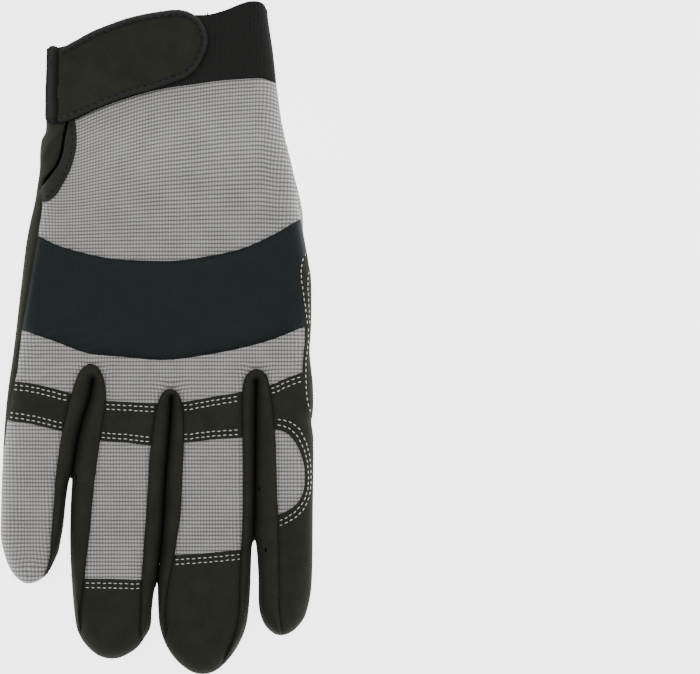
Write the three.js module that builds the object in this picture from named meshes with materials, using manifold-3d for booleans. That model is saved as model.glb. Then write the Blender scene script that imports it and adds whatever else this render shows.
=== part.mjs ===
// A right-hand mechanic's glove lying palm down with its thumb folded under the palm.
// Millimetres, +Z up. The cuff's mouth is at +Y, the fingertips at -Y, the little finger at -X.
// The glove is one hollow form, cut along its seams into panels that keep a small gap.
import * as THREE from "three";
import { mergeVertices } from "three/addons/utils/BufferGeometryUtils.js";
import Module from "manifold-3d";

const wasm = await Module();
wasm.setup();

// Driving sizes of the hand
const handLength = 113; // from the web between the fingers to the cuff's seam
const palmThickness = 14; // the flattened hand, outside
const fingerThickness = 13.6;
const clothWall = 1.4; // knit back and synthetic suede
const seamGap = 0.3; // left open between neighbouring panels
const fingerGap = 0.8; // between two fingers that lie side by side
const tipRim = 1.9; // how far the palm laps round a fingertip

// Driving sizes of the cuff and its strap
const cuffHeight = 28;
const cuffSeamWidth = 85;
const mouthWidth = 78;
const cuffThickness = 12.6;
const elasticWall = 1.6;
const strapThickness = 1.7;
const bindingWidth = 2.6;
const bindingThickness = 2.3;
const hookThickness = 0.9;
const foldThickness = 1.5; // the elastic folded over at the cuff's opening

// Driving sizes of the panels that stand proud
const ridgeHeight = 1.5; // the finger sidewalls, rolled up beside the finger backs
const stripHeight = 0.5; // the knuckle strip over the knit
const padThickness = 1.4;
const tongueThickness = 0.9;
const patchHeight = 0.6; // the thumb's patch

// Driving sizes of the thumb and of the way the glove lies
const thumbLength = 112; // from its root in the palm to its tip, along the hand
const thumbWidth = 41;
const thumbThickness = 10.6;
const palmLift = 15.2; // the palm lies this high over the folded thumb
const edgeLift = 5.6; // the little-finger edge sags to this height
const flatCut = 0.35; // cloth that rests is pressed flat by this much

// Each finger's two edges in rows from its root to its tip: down is a share of its length,
// left and right are shares of handWidth from the little-finger edge. The bands are its sidewalls'
// widths at root, middle and tip: leftBand and rightBand from the back, under from the palm.
const fingers = [
  {
    name: "pinky", length: 60.1, leftBand: [0, 0, 0], rightBand: [8.3, 4.7, 1.5], under: [7.5, 5, 1.8],
    rows: [
      { down: 0, left: 0, right: 0.276 }, { down: 0.17, left: -0.003, right: 0.25 },
      { down: 0.32, left: -0.006, right: 0.229 }, { down: 0.41, left: -0.008, right: 0.209 },
      { down: 0.59, left: -0.013, right: 0.195 }, { down: 0.74, left: -0.011, right: 0.182 },
      { down: 0.84, left: 0.003, right: 0.167 }, { down: 0.92, left: 0.0195, right: 0.148 },
      { down: 0.975, left: 0.044, right: 0.12 }, { down: 1, left: 0.07, right: 0.09 },
    ],
  },
  {
    name: "ring", length: 86.4, leftBand: [4.9, 6.8, 1.8], rightBand: [4, 5.4, 2.6], under: [9.5, 9, 3],
    rows: [
      { down: 0, left: 0.283, right: 0.529 }, { down: 0.12, left: 0.257, right: 0.5224 },
      { down: 0.22, left: 0.2355, right: 0.516 }, { down: 0.3, left: 0.219, right: 0.5087 },
      { down: 0.5, left: 0.214, right: 0.501 }, { down: 0.7, left: 0.221, right: 0.4885 },
      { down: 0.86, left: 0.2305, right: 0.474 }, { down: 0.925, left: 0.248, right: 0.451 },
      { down: 0.975, left: 0.2775, right: 0.417 }, { down: 1, left: 0.332, right: 0.366 },
    ],
  },
  {
    name: "middle", length: 92.7, leftBand: [5.4, 6.7, 2], rightBand: [4.9, 4.1, 3], under: [10.5, 7.8, 3],
    rows: [
      { down: 0, left: 0.536, right: 0.8145 }, { down: 0.11, left: 0.5296, right: 0.8123 },
      { down: 0.3, left: 0.516, right: 0.8095 }, { down: 0.47, left: 0.5085, right: 0.806 },
      { down: 0.62, left: 0.498, right: 0.7985 }, { down: 0.78, left: 0.5, right: 0.786 },
      { down: 0.88, left: 0.518, right: 0.758 }, { down: 0.94, left: 0.5455, right: 0.7255 },
      { down: 0.98, left: 0.584, right: 0.685 }, { down: 1, left: 0.62, right: 0.653 },
    ],
  },
  {
    name: "index", length: 78.7, leftBand: [6.6, 8.8, 3.5], rightBand: [0, 0, 0], under: [0, 0, 0],
    rows: [
      { down: 0, left: 0.822, right: 1 }, { down: 0.25, left: 0.8185, right: 1.003 },
      { down: 0.42, left: 0.8175, right: 1.003 }, { down: 0.56, left: 0.817, right: 1.003 },
      { down: 0.64, left: 0.819, right: 1 }, { down: 0.8, left: 0.826, right: 0.992 },
      { down: 0.9, left: 0.833, right: 0.974 }, { down: 0.955, left: 0.8505, right: 0.95 },
      { down: 0.985, left: 0.87, right: 0.925 }, { down: 1, left: 0.888, right: 0.907 },
    ],
  },
];
// One row for each pair of neighbouring fingers: the sidewall's hood over the web.
const hoods = [
  { name: "pinky_ring", height: 18.2, skew: 2.3 },
  { name: "ring_middle", height: 10.2, skew: -0.7 },
  { name: "middle_index", height: 16.7, skew: 0 },
];

const handWidth = 111; // over the four fingers' roots
const cuffMiddle = 0.516; // across, as a share of handWidth
const cuffRise = 0.06; // the cuff's seam rises by this share of handLength to each side

// The hand's two edges from the cuff to the web: across is a share of handWidth from the
// little-finger edge, along a share of handLength from the web, deep a share of palmThickness.
const handRows = [
  { leftAcross: 0.114, leftAlong: 0.815, rightAcross: 0.932, rightAlong: 0.872, deep: 0.96 },
  { leftAcross: 0.097, leftAlong: 0.687, rightAcross: 0.955, rightAlong: 0.725, deep: 1 },
  { leftAcross: 0.075, leftAlong: 0.559, rightAcross: 0.974, rightAlong: 0.572, deep: 1 },
  { leftAcross: 0.052, leftAlong: 0.383, rightAcross: 0.995, rightAlong: 0.393, deep: 1 },
  { leftAcross: 0.029, leftAlong: 0.208, rightAcross: 1, rightAlong: 0.214, deep: 1 },
  { leftAcross: 0.01, leftAlong: 0.06, rightAcross: 1, rightAlong: 0.06, deep: 1 },
  { leftAcross: 0, leftAlong: 0, rightAcross: 1, rightAlong: 0, deep: 1 },
];

// Seams and outlines, drawn through in turn: shares of handWidth across from the little-finger
// edge and of handLength along from the web.
const sideSeamRows = [[0.196, 1.02], [0.1916, 0.94], [0.1656, 0.8825], [0.1396, 0.8187],
  [0.12, 0.7327], [0.1266, 0.682], [0.1136, 0.5766], [0.091, 0.443], [0.0617, 0.277],
  [0.0422, 0.1274], [0.013, -0.0096], [-0.03, -0.121]];
const bandTopRows = [[0.06, 0.59], [0.115, 0.572], [0.26, 0.519], [0.465, 0.492], [0.656, 0.505],
  [0.773, 0.531], [0.875, 0.576], [0.985, 0.636]];
const bandBottomRows = [[0.06, 0.272], [0.165, 0.235], [0.274, 0.198], [0.397, 0.185], [0.52, 0.176],
  [0.637, 0.19], [0.773, 0.213], [0.875, 0.243], [1, 0.29]];
const stripTopRows = [[0.036, 0.107], [0.218, 0.083], [0.331, 0.046], [0.5, 0.037], [0.584, 0.044],
  [0.773, 0.072], [0.867, 0.103], [1, 0.144]];
const stripBottomRows = [[0.004, -0.014], [0.19, -0.05], [0.32, -0.082], [0.474, -0.093],
  [0.588, -0.087], [0.773, -0.07], [0.886, -0.052], [1, -0.03]];
const ringCapRows = [[0.2, -0.513], [0.33, -0.52], [0.5, -0.5]];
const middleCapRows = [[0.48, -0.45], [0.6, -0.447], [0.68, -0.44], [0.82, -0.41]];
const windowRows = [[0.84, -0.04], [0.88, -0.045], [0.935, -0.064], [0.974, -0.121], [0.984, -0.198],
  [0.964, -0.261], [0.893, -0.306], [0.84, -0.31]];
const slitRows = [[0.1916, 0.94], [0.1656, 0.8825], [0.1396, 0.8187], [0.1234, 0.7327],
  [0.149, 0.7678], [0.1786, 0.806], [0.1964, 0.86], [0.205, 0.9175], [0.205, 0.96]];
const slitEdgeRows = [[0.1234, 0.7327], [0.149, 0.7678], [0.1786, 0.806], [0.1964, 0.86],
  [0.205, 0.9175], [0.208, 0.943], [0.244, 0.95], [0.238, 0.879], [0.2338, 0.8346],
  [0.2143, 0.7773], [0.1883, 0.7263], [0.1526, 0.6913], [0.129, 0.685], [0.122, 0.71]];
const strapRows = [[0.182, 1.1755], [0.273, 1.22], [0.367, 1.258], [0.464, 1.284], [0.558, 1.2966],
  [0.6006, 1.287], [0.6347, 1.258], [0.659, 1.217], [0.659, 1.1787], [0.6396, 1.137],
  [0.607, 1.099], [0.558, 1.07], [0.464, 1.043], [0.393, 1.026], [0.3214, 0.997],
  [0.2532, 0.9685], [0.215, 0.952], [0.184, 0.95], [0.1815, 1]];
const hookRows = [[0.38, 1.08], [0.38, 1.2], [0.55, 1.25], [0.6, 1.18], [0.55, 1.11]];
const foldRows = [[0.128, 1.165], [0.177, 1.166], [0.177, 0.952], [0.135, 0.947], [0.12, 1.05]];
const cuffSlot = [0.197, 0.233]; // the cuff's opening below the strap

// Outlines on the palm side.
const padRows = [[0.54, 0.68], [0.44, 0.76], [0.375, 0.785], [0.31, 0.77], [0.235, 0.725],
  [0.165, 0.65], [0.125, 0.58], [0.1, 0.5], [0.088, 0.38], [0.09, 0.24], [0.078, 0.12],
  [0.078, 0.06], [0.1, 0.03], [0.13, 0.02], [0.165, 0.03], [0.196, 0.06], [0.225, 0.095],
  [0.262, 0.105], [0.3, 0.085], [0.33, 0.05], [0.37, 0.02], [0.42, 0.01], [0.46, 0.03],
  [0.49, 0.07], [0.52, 0.08], [0.55, 0.06], [0.58, 0.03], [0.615, 0.02], [0.645, 0.035],
  [0.68, 0.07], [0.73, 0.09], [0.77, 0.07], [0.81, 0.04], [0.855, 0.025], [0.9, 0.035],
  [0.925, 0.09], [0.935, 0.16], [0.92, 0.23], [0.87, 0.24], [0.8, 0.215], [0.72, 0.19],
  [0.6, 0.175], [0.45, 0.172], [0.33, 0.18], [0.245, 0.19], [0.2, 0.235], [0.18, 0.32],
  [0.19, 0.4], [0.215, 0.48], [0.265, 0.55], [0.325, 0.595], [0.39, 0.605], [0.45, 0.585],
  [0.51, 0.55]];
const tongueRows = [[0.6, 0.41], [0.47, 0.41], [0.38, 0.395], [0.335, 0.373], [0.302, 0.344],
  [0.302, 0.306], [0.335, 0.2835], [0.45, 0.27], [0.6, 0.27]];
const heartRows = [[0.52, 0.752], [0.62, 0.765], [0.7, 0.78], [0.76, 0.76], [0.793, 0.72],
  [0.795, 0.675], [0.765, 0.6], [0.705, 0.51], [0.635, 0.46], [0.56, 0.42], [0.512, 0.416],
  [0.49, 0.445], [0.49, 0.5], [0.49, 0.56], [0.47, 0.66]];
const thumbSeamRows = [[1.05, 0.52], [0.96, 0.515], [0.84, 0.495], [0.7, 0.42], [0.595, 0.34],
  [0.52, 0.255], [0.42, 0.12], [0.374, 0.045], [0.345, 0], [0.338, -0.2]];
const wrapRows = [[0.525, 1.3], [0.523, 1.01], [0.54, 0.93], [0.575, 0.865], [0.75, 0.8],
  [0.86, 0.7], [0.9, 0.66], [0.92, 0.64], [1.2, 0.64], [1.2, 1.3]];
const radialUpperRows = [[1.05, 0.516], [0.95, 0.516], [0.955, 0.46], [0.962, 0.424],
  [0.972, 0.357], [0.976, 0.29], [0.974, 0.14], [0.974, 0.02], [1.05, 0.02]];
const radialUnderRows = [[1.05, 0.516], [0.945, 0.516], [0.88, 0.505], [0.847, 0.485], [0.841, 0.433],
  [0.841, 0.382], [0.896, 0.363], [0.88, 0.29], [0.948, 0.255], [0.977, 0.188],
  [0.977, 0.02], [1.05, 0.02]];

// The thumb's two edges from its root to its tip: across is a share of handWidth from the
// little-finger edge, down a share of thumbLength from the root, wide a share of thumbWidth,
// deep a share of thumbThickness and low a share of the way down from the hand to the floor.
const thumbRows = [
  { across: 0.885, down: 0, wide: 0.72, deep: 0.62, low: 0 },
  { across: 0.93, down: 0.12, wide: 0.98, deep: 1.05, low: 0.42 },
  { across: 0.962, down: 0.28, wide: 1.24, deep: 1.04, low: 0.96 },
  { across: 0.94, down: 0.42, wide: 1.31, deep: 1.02, low: 1 },
  { across: 0.868, down: 0.53, wide: 1.26, deep: 1, low: 1 },
  { across: 0.788, down: 0.65, wide: 1.18, deep: 0.97, low: 1 },
  { across: 0.718, down: 0.75, wide: 1.1, deep: 0.94, low: 1 },
  { across: 0.646, down: 0.845, wide: 1, deep: 0.92, low: 1 },
  { across: 0.588, down: 0.92, wide: 0.82, deep: 0.85, low: 1 },
  { across: 0.53, down: 0.98, wide: 0.48, deep: 0.62, low: 1 },
  { across: 0.46, down: 1, wide: 0.12, deep: 0.25, low: 1 },
];
const thumbRoot = 0.93; // along, as a share of handLength

// Loft resolution
const handSides = 24;
const handSteps = 11;
const fingerSides = 12;
const thumbSides = 14;
const thumbSteps = 9;
const reach = 60; // cutters run this far past the glove

// Smooth step from 0 to 1 as value goes from a to b.
function ramp(a, b, value) {
  return THREE.MathUtils.smoothstep((value - a) / (b - a), 0, 1);
}

const flat = (point) => new THREE.Vector2(point.x, point.y);
const toSpace = (point) => new THREE.Vector3(point.x, point.y, 0);
const onHand = (across, along) => new THREE.Vector2(across * handWidth, along * handLength);
const rowsOnHand = (rows) => rows.map(([across, along]) => onHand(across, along));

// How high the glove's middle surface lies over a point of the plan.
function middleHeight(x, y) {
  const along = y / handLength;
  const arch = ramp(1.14, 0.74, along) * ramp(-0.5, 0.1, along);
  const across = Math.sin((Math.PI / 2) * THREE.MathUtils.clamp(x / (0.55 * handWidth), 0, 1));
  const resting = THREE.MathUtils.lerp(fingerThickness, cuffThickness, ramp(0.6, 1, along)) / 2;
  return resting + (edgeLift + (palmLift - edgeLift) * across) * arch;
}

function solid(geometry) {
  geometry.deleteAttribute("normal");
  geometry.deleteAttribute("uv");
  const merged = mergeVertices(geometry, 1e-4);
  const mesh = new wasm.Mesh({
    numProp: 3,
    vertProperties: new Float32Array(merged.attributes.position.array),
    triVerts: new Uint32Array(merged.index.array),
  });
  return new wasm.Manifold(mesh);
}

// A closed form made from a cylinder whose points are placed by share along, angle and radius.
function form(sides, steps, place) {
  const geometry = new THREE.CylinderGeometry(1, 1, 1, sides, steps);
  const positions = geometry.getAttribute("position");
  for (let i = 0; i < positions.count; i++) {
    const [x, y, z] = [positions.getX(i), positions.getY(i), positions.getZ(i)];
    const angle = Math.atan2(z, x) + Math.PI / sides;
    positions.setXYZ(i, ...place(0.5 - y, angle, Math.hypot(x, z)));
  }
  return solid(geometry);
}

// A unit section with rounded sides: a higher power is flatter.
function roundSection(angle, power) {
  const squash = (value) => Math.sign(value) * Math.abs(value) ** (2 / power);
  return [squash(Math.cos(angle)), squash(Math.sin(angle))];
}

// A section across the plan from a left to a right point; top and bottom are its depths.
function sectionPoint(left, right, deep, section, radius, height) {
  const [across, up] = section;
  const middle = left.clone().add(right).multiplyScalar(0.5);
  const arm = right.clone().sub(left).multiplyScalar(0.5);
  const x = middle.x + arm.x * across * radius;
  const y = middle.y + arm.y * across * radius;
  return [x, y, height(x, y) + up * (up > 0 ? deep.top : deep.bottom) * radius];
}

// How far a form grows at its sides, its top and its bottom.
const grow = (side, top, bottom) => ({ side, top, bottom });
const outside = grow(0, 0, 0);
const inside = grow(-clothWall, -clothWall, -clothWall);
const proud = (amount) => grow(0, amount, 0);
const hanging = (amount) => grow(0, 0, amount);

// The hand and cuff: rows from beyond the mouth to the web.
const cuffSeam = {
  left: onHand(cuffMiddle, 1 - cuffRise).sub(new THREE.Vector2(cuffSeamWidth / 2, 0)),
  right: onHand(cuffMiddle, 1 + cuffRise).add(new THREE.Vector2(cuffSeamWidth / 2, 0)),
};
const cuffTaper = (cuffSeamWidth - mouthWidth) / 2;
const mouth = {
  left: cuffSeam.left.clone().add(new THREE.Vector2(cuffTaper * 0.2, cuffHeight)),
  right: cuffSeam.right.clone().add(new THREE.Vector2(-cuffTaper * 1.8, cuffHeight)),
};
const beyond = {
  left: mouth.left.clone().lerp(cuffSeam.left, -0.35),
  right: mouth.right.clone().lerp(cuffSeam.right, -0.35),
};
const cuffDeep = cuffThickness / palmThickness;
const handStations = [
  { ...beyond, deep: cuffDeep },
  { ...mouth, deep: cuffDeep },
  { ...cuffSeam, deep: cuffDeep },
  ...handRows.map((row) => ({
    left: onHand(row.leftAcross, row.leftAlong),
    right: onHand(row.rightAcross, row.rightAlong),
    deep: row.deep,
  })),
];
const edgeCurve = (stations, key) =>
  new THREE.CatmullRomCurve3(stations.map((row) => toSpace(row[key])));
const valueCurve = (stations, key) =>
  new THREE.CatmullRomCurve3(stations.map((row) => new THREE.Vector3(row[key], 0, 0)));
const handLeft = edgeCurve(handStations, "left");
const handRight = edgeCurve(handStations, "right");
const handDeep = valueCurve(handStations, "deep");

function handForm(growth) {
  return form(handSides, handSteps, (share, angle, radius) => {
    const left = flat(handLeft.getPoint(share));
    const right = flat(handRight.getPoint(share));
    left.x -= growth.side;
    right.x += growth.side;
    const webWall = Math.max(0, -growth.side) * ramp(0.85, 1, share);
    left.y += webWall;
    right.y += webWall;
    const half = (handDeep.getPoint(share).x * palmThickness) / 2;
    const deep = { top: half + growth.top, bottom: half + growth.bottom };
    return sectionPoint(left, right, deep, roundSection(angle, 3.6), radius, middleHeight);
  });
}

// A finger's edge at a share of its length; side is -1 for left and 1 for right.
function fingerEdge(finger, side, down, inset) {
  const rows = finger.rows;
  const next = Math.max(1, rows.findIndex((row) => row.down >= Math.min(1, down)));
  const [a, b] = [rows[next - 1], rows[next]];
  const share = THREE.MathUtils.clamp((down - a.down) / (b.down - a.down), 0, 1);
  const left = THREE.MathUtils.lerp(a.left, b.left, share) * handWidth;
  const right = THREE.MathUtils.lerp(a.right, b.right, share) * handWidth;
  const middle = (left + right) / 2;
  const half = Math.max(0.05, (right - left) / 2 - inset);
  const shorter = down > 0 ? Math.max(0, inset) * down : 0;
  return new THREE.Vector2(middle + side * half, shorter - finger.length * down);
}

const fingerStart = -0.07;
const fingerNeck = 1.2; // a finger's form is this much narrower inside the hand
function fingerForm(finger, growth) {
  const steps = [fingerStart, ...finger.rows.map((row) => row.down)];
  const inset = -growth.side;
  return form(fingerSides, steps.length - 1, (share, angle, radius) => {
    const down = steps[Math.round(share * (steps.length - 1))];
    const neck = down < 0 ? fingerNeck : 0;
    const left = fingerEdge(finger, -1, down, inset + neck);
    const right = fingerEdge(finger, 1, down, inset + neck);
    const past = Math.max(0, 1 - (finger.length * (1 - down)) / (0.85 * fingerThickness));
    const blunt = Math.max(0.12, (1 - Math.min(1, past) ** 2.4) ** (1 / 2.4));
    const depth = (amount) => Math.max(0.1, (fingerThickness / 2 + amount - neck) * blunt);
    const deep = { top: depth(growth.top), bottom: depth(growth.bottom) };
    return sectionPoint(left, right, deep, roundSection(angle, 2.8), radius, middleHeight);
  });
}

// The thumb leaves the palm at its index side and lies folded under it.
const thumbTop = thumbRoot * handLength;
const thumbStations = thumbRows.map((row) => {
  const right = new THREE.Vector2(row.across * handWidth, thumbTop - row.down * thumbLength);
  const left = new THREE.Vector2(right.x - row.wide * thumbWidth, right.y);
  return { left, right, deep: row.deep, low: row.low };
});
const thumbLeft = edgeCurve(thumbStations, "left");
const thumbRight = edgeCurve(thumbStations, "right");
const thumbDeep = valueCurve(thumbStations, "deep");
const thumbLow = valueCurve(thumbStations, "low");

// part is "whole", or "lower" for all that lies under its middle surface.
function thumbForm(growth, part) {
  return form(thumbSides, thumbSteps, (share, angle, radius) => {
    const down = Math.min(share, 1 + Math.min(0, growth.side) / thumbLength);
    const left = flat(thumbLeft.getPoint(down));
    const right = flat(thumbRight.getPoint(down));
    const side = Math.max(growth.side, -0.45 * (right.x - left.x));
    left.x -= side;
    right.x += side;
    const half = (thumbDeep.getPoint(down).x * thumbThickness) / 2;
    const depth = (amount) => Math.max(0.3 * half, half + amount);
    const top = part === "lower" ? 0 : depth(growth.top);
    const low = THREE.MathUtils.clamp(thumbLow.getPoint(down).x, 0, 1);
    const height = (x, y) => THREE.MathUtils.lerp(middleHeight(x, y), half + patchHeight, low);
    const deep = { top, bottom: depth(growth.bottom) };
    return sectionPoint(left, right, deep, roundSection(angle, 3), radius, height);
  });
}

// Cutters: a prism over an outline of plan points, and its part over or under the middle surface.
function prism(points) {
  const shape = new THREE.Shape(points);
  const geometry = new THREE.ExtrudeGeometry(shape, { depth: 3 * reach, bevelEnabled: false });
  return solid(geometry.translate(0, 0, -reach));
}

function upperSpace() {
  const geometry = new THREE.BoxGeometry(handWidth + reach, handLength + 3 * reach, 1, 12, 22, 1);
  geometry.translate(handWidth / 2, handLength / 2 - reach / 4, 0);
  const positions = geometry.getAttribute("position");
  for (let i = 0; i < positions.count; i++) {
    const [x, y, z] = [positions.getX(i), positions.getY(i), positions.getZ(i)];
    positions.setZ(i, z > 0 ? 2 * reach : middleHeight(x, y));
  }
  return solid(geometry);
}
const upper = upperSpace();
const upperWide = upper.translate([0, 0, -seamGap]);
const above = (points) => prism(points).intersect(upper);
const below = (points) => prism(points).subtract(upperWide);
const underlap = 0.05; // the lower half of a panel that goes round an edge reaches into its upper half
const joinedBelow = (points) => prism(points).subtract(upper.translate([0, 0, underlap]));

// Smooth lines through plan points.
const through = (points, count) => new THREE.SplineCurve(points).getPoints(count);
function loop(points, count) {
  const curve = new THREE.CatmullRomCurve3(points.map(toSpace), true);
  return curve.getPoints(count).slice(0, -1).map(flat);
}

// An outline grown by an even margin, with mitred corners.
function grown(points, amount) {
  const turn = Math.sign(THREE.ShapeUtils.area(points)) * amount;
  const normal = (from, to) => {
    const along = to.clone().sub(from).normalize();
    return new THREE.Vector2(along.y, -along.x);
  };
  return points.map((point, i) => {
    const before = normal(points[(i + points.length - 1) % points.length], point);
    const after = normal(point, points[(i + 1) % points.length]);
    const mitre = turn / Math.max(0.4, 1 + before.dot(after));
    return point.clone().add(before.add(after).multiplyScalar(mitre));
  });
}

// The plan between two seams that cross the hand; a seam left out leaves that side open.
function between(topRows, bottomRows) {
  const side = (rows, shift, far) => {
    const points = rows ? through(rowsOnHand(rows), 9) : [new THREE.Vector2(0, far)];
    points.unshift(new THREE.Vector2(-reach, points[0].y));
    points.push(new THREE.Vector2(handWidth + reach, points.at(-1).y));
    points.forEach((point) => (point.y += shift));
    return points;
  };
  const top = side(topRows, -seamGap / 2, handLength + reach);
  const bottom = side(bottomRows, seamGap / 2, -2 * reach);
  return prism([...top, ...bottom.reverse()]);
}

// Widths of a band at root, middle and tip, read at a share of the finger's length.
const bandEnd = 0.9;
function bandWidth(widths, down) {
  const share = THREE.MathUtils.clamp(down / bandEnd, 0, 1) * 2;
  const first = Math.min(1, Math.floor(share));
  return THREE.MathUtils.lerp(widths[first], widths[first + 1], share - first);
}
function backSeam(finger, side, down) {
  const widths = side < 0 ? finger.leftBand : finger.rightBand;
  return fingerEdge(finger, side, down, bandWidth(widths, down));
}
function shares(from, to, count) {
  return Array.from({ length: count + 1 }, (_, i) => from + ((to - from) * i) / count);
}

// The sidewall between two fingers, seen from the back: its two bands and its hood over the web.
function sidewallOutline(k) {
  const [left, right, hood] = [fingers[k], fingers[k + 1], hoods[k]];
  const foot = backSeam(left, 1, 0);
  const half = (backSeam(right, -1, 0).x - foot.x) / 2;
  const arch = shares(0, Math.PI, 6).map((angle) => {
    const x = foot.x + half - half * Math.cos(angle) + hood.skew * Math.sin(angle);
    return new THREE.Vector2(x, hood.height * Math.sin(angle) ** 0.8);
  });
  const end = fingerEdge(left, 1, bandEnd, -fingerGap / 2);
  const far = shares(bandEnd, 0.3, 4).map((down) => fingerEdge(right, -1, down, -fingerGap / 2));
  return [
    ...shares(bandEnd, 0.1, 5).map((down) => backSeam(left, 1, down)),
    ...arch,
    ...shares(0.1, bandEnd, 5).map((down) => backSeam(right, -1, down)),
    ...far.filter((point) => point.y < end.y - 1),
    end,
  ];
}

// The same sidewall seen from the palm: a strip down the left finger's inner side.
function underOutline(k) {
  const [left, right] = [fingers[k], fingers[k + 1]];
  const seam = shares(0, bandEnd, 5).map((down) =>
    fingerEdge(left, 1, down, bandWidth(left.under, down)),
  );
  const far = shares(bandEnd, 0, 5).map((down) => fingerEdge(left, 1, down, -fingerGap / 2));
  const web = 2 * clothWall;
  const near = fingerEdge(right, -1, 0, 0);
  return [new THREE.Vector2(seam[0].x, web), ...seam, ...far, new THREE.Vector2(near.x, web)];
}

// One finger's share of the plan, and the same inside the rim round its tip.
const columnTop = 32;
function fingerColumn(finger, inset, rim) {
  const downs = [0, 0.3, 0.6, 0.8, 0.88, 0.94, 0.98, 1];
  const lap = (down) => inset + rim * ramp(0.8, 0.92, down);
  const left = downs.map((down) => fingerEdge(finger, -1, down, lap(down)));
  const right = downs.map((down) => fingerEdge(finger, 1, down, lap(down)));
  left.unshift(new THREE.Vector2(left[0].x, columnTop));
  right.unshift(new THREE.Vector2(right[0].x, columnTop));
  return [...left, ...right.reverse()];
}

// Joining and trimming
const unite = (list) => list.reduce((sum, part) => sum.add(part));
const without = (part, ...list) => list.reduce((rest, cutter) => rest.subtract(cutter), part);
const largest = (part) =>
  part.decompose().reduce((best, body) => (body.volume() > best.volume() ? body : best));

// The hollow form, before the cuff is taken off at its seam
const thumbInner = thumbForm(inside, "whole");
const inner = unite([handForm(inside), ...fingers.map((f) => fingerForm(f, inside)), thumbInner]);
const wholeForm = (growth) => unite([handForm(growth), ...fingers.map((f) => fingerForm(f, growth))]);
const outer = wholeForm(outside);
const acrossCuff = (line, shift) => {
  const along = line.right.clone().sub(line.left).normalize().multiplyScalar(reach);
  const points = [line.left.clone().sub(along), line.right.clone().add(along)];
  points.forEach((point) => (point.y += shift));
  return points;
};
const farSouth = [new THREE.Vector2(handWidth + reach, -2 * reach), new THREE.Vector2(-reach, -2 * reach)];
const handSide = prism([...acrossCuff(cuffSeam, -seamGap / 2), ...farSouth]);
const cuffSide = prism([...acrossCuff(mouth, 0), ...acrossCuff(cuffSeam, seamGap / 2).reverse()]);
const shellOf = (form) => form.subtract(inner).intersect(handSide);
const shell = shellOf(outer);
const ridged = shellOf(wholeForm(proud(ridgeHeight)));
const stripped = shellOf(wholeForm(proud(stripHeight)));

// The finger sidewalls
const sidewalls = hoods.map((hood, k) => {
  const top = ridged.intersect(above(grown(sidewallOutline(k), -seamGap / 2)));
  const under = shell.intersect(joinedBelow(grown(underOutline(k), -seamGap / 2)));
  return { name: hood.name, part: top.add(under) };
});
const sidewallRoom = unite([
  ...hoods.map((hood, k) => prism(grown(sidewallOutline(k), seamGap / 2)).intersect(upperWide)),
  ...hoods.map((hood, k) => below(grown(underOutline(k), seamGap / 2))),
]);

// The back of the hand, inside the seam along the little-finger edge
const sideSeamLine = through(rowsOnHand(sideSeamRows), 13);
const backSide = (inset) => {
  const line = sideSeamLine.map((point) => new THREE.Vector2(point.x + inset, point.y));
  const right = handWidth + reach / 3;
  return [new THREE.Vector2(line[0].x, handLength + reach), ...line,
    new THREE.Vector2(-reach / 3, -2 * reach), new THREE.Vector2(right, -2 * reach),
    new THREE.Vector2(right, handLength + reach)];
};
const radialUpper = rowsOnHand(radialUpperRows);
const radialUnder = rowsOnHand(radialUnderRows);
const wrap = rowsOnHand(wrapRows);
const slitEdge = rowsOnHand(slitEdgeRows);
const backSpace = without(above(backSide(seamGap)), prism(grown(radialUpper, seamGap)), sidewallRoom);
const backRoom = prism(backSide(0)).intersect(upperWide);
const wrapPart = joinedBelow(wrap).add(above(wrap).intersect(between(null, bandTopRows)));
const slitRoom = unite([prism(rowsOnHand(slitRows)), prism(grown(slitEdge, seamGap))]);
const backPanel = shell
  .intersect(backSpace.intersect(between(null, bandTopRows)).add(wrapPart))
  .subtract(slitRoom.intersect(upperWide));
const knuckleBand = shell.intersect(backSpace).intersect(between(bandTopRows, bandBottomRows));
const knucklePanel = shell.intersect(backSpace).intersect(between(bandBottomRows, stripTopRows));
const slitBinding = stripped.intersect(above(slitEdge));
const radialPatch = stripped.intersect(above(radialUpper)).add(shell.intersect(joinedBelow(radialUnder)));

// The finger backs
const [pinky, ring, middle, index] = fingers;
const fingerBack = (finger, from, rim, top, bottom) =>
  from.intersect(backSpace).intersect(above(fingerColumn(finger, 0, rim))).intersect(between(top, bottom));
const windowOutline = rowsOnHand(windowRows);
const stripParts = [pinky, ring, middle].map((finger) => ({
  name: `knuckle_strip_${finger.name}`,
  part: fingerBack(finger, stripped, 0, stripTopRows, stripBottomRows),
}));
const backs = [
  { name: "finger_back_pinky", part: fingerBack(pinky, shell, 0, stripBottomRows, null) },
  { name: "finger_back_ring", part: fingerBack(ring, shell, tipRim, stripBottomRows, ringCapRows) },
  { name: "finger_back_middle", part: fingerBack(middle, shell, tipRim, stripBottomRows, middleCapRows) },
];
const caps = [
  { name: "fingertip_cap_ring", part: fingerBack(ring, stripped, tipRim, ringCapRows, null) },
  { name: "fingertip_cap_middle", part: fingerBack(middle, stripped, tipRim, middleCapRows, null) },
];
const indexBack = fingerBack(index, stripped, 0, stripTopRows, null).subtract(prism(grown(windowOutline, seamGap)));
const indexWindow = fingerBack(index, shell, 0, null, null).intersect(prism(windowOutline));

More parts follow.
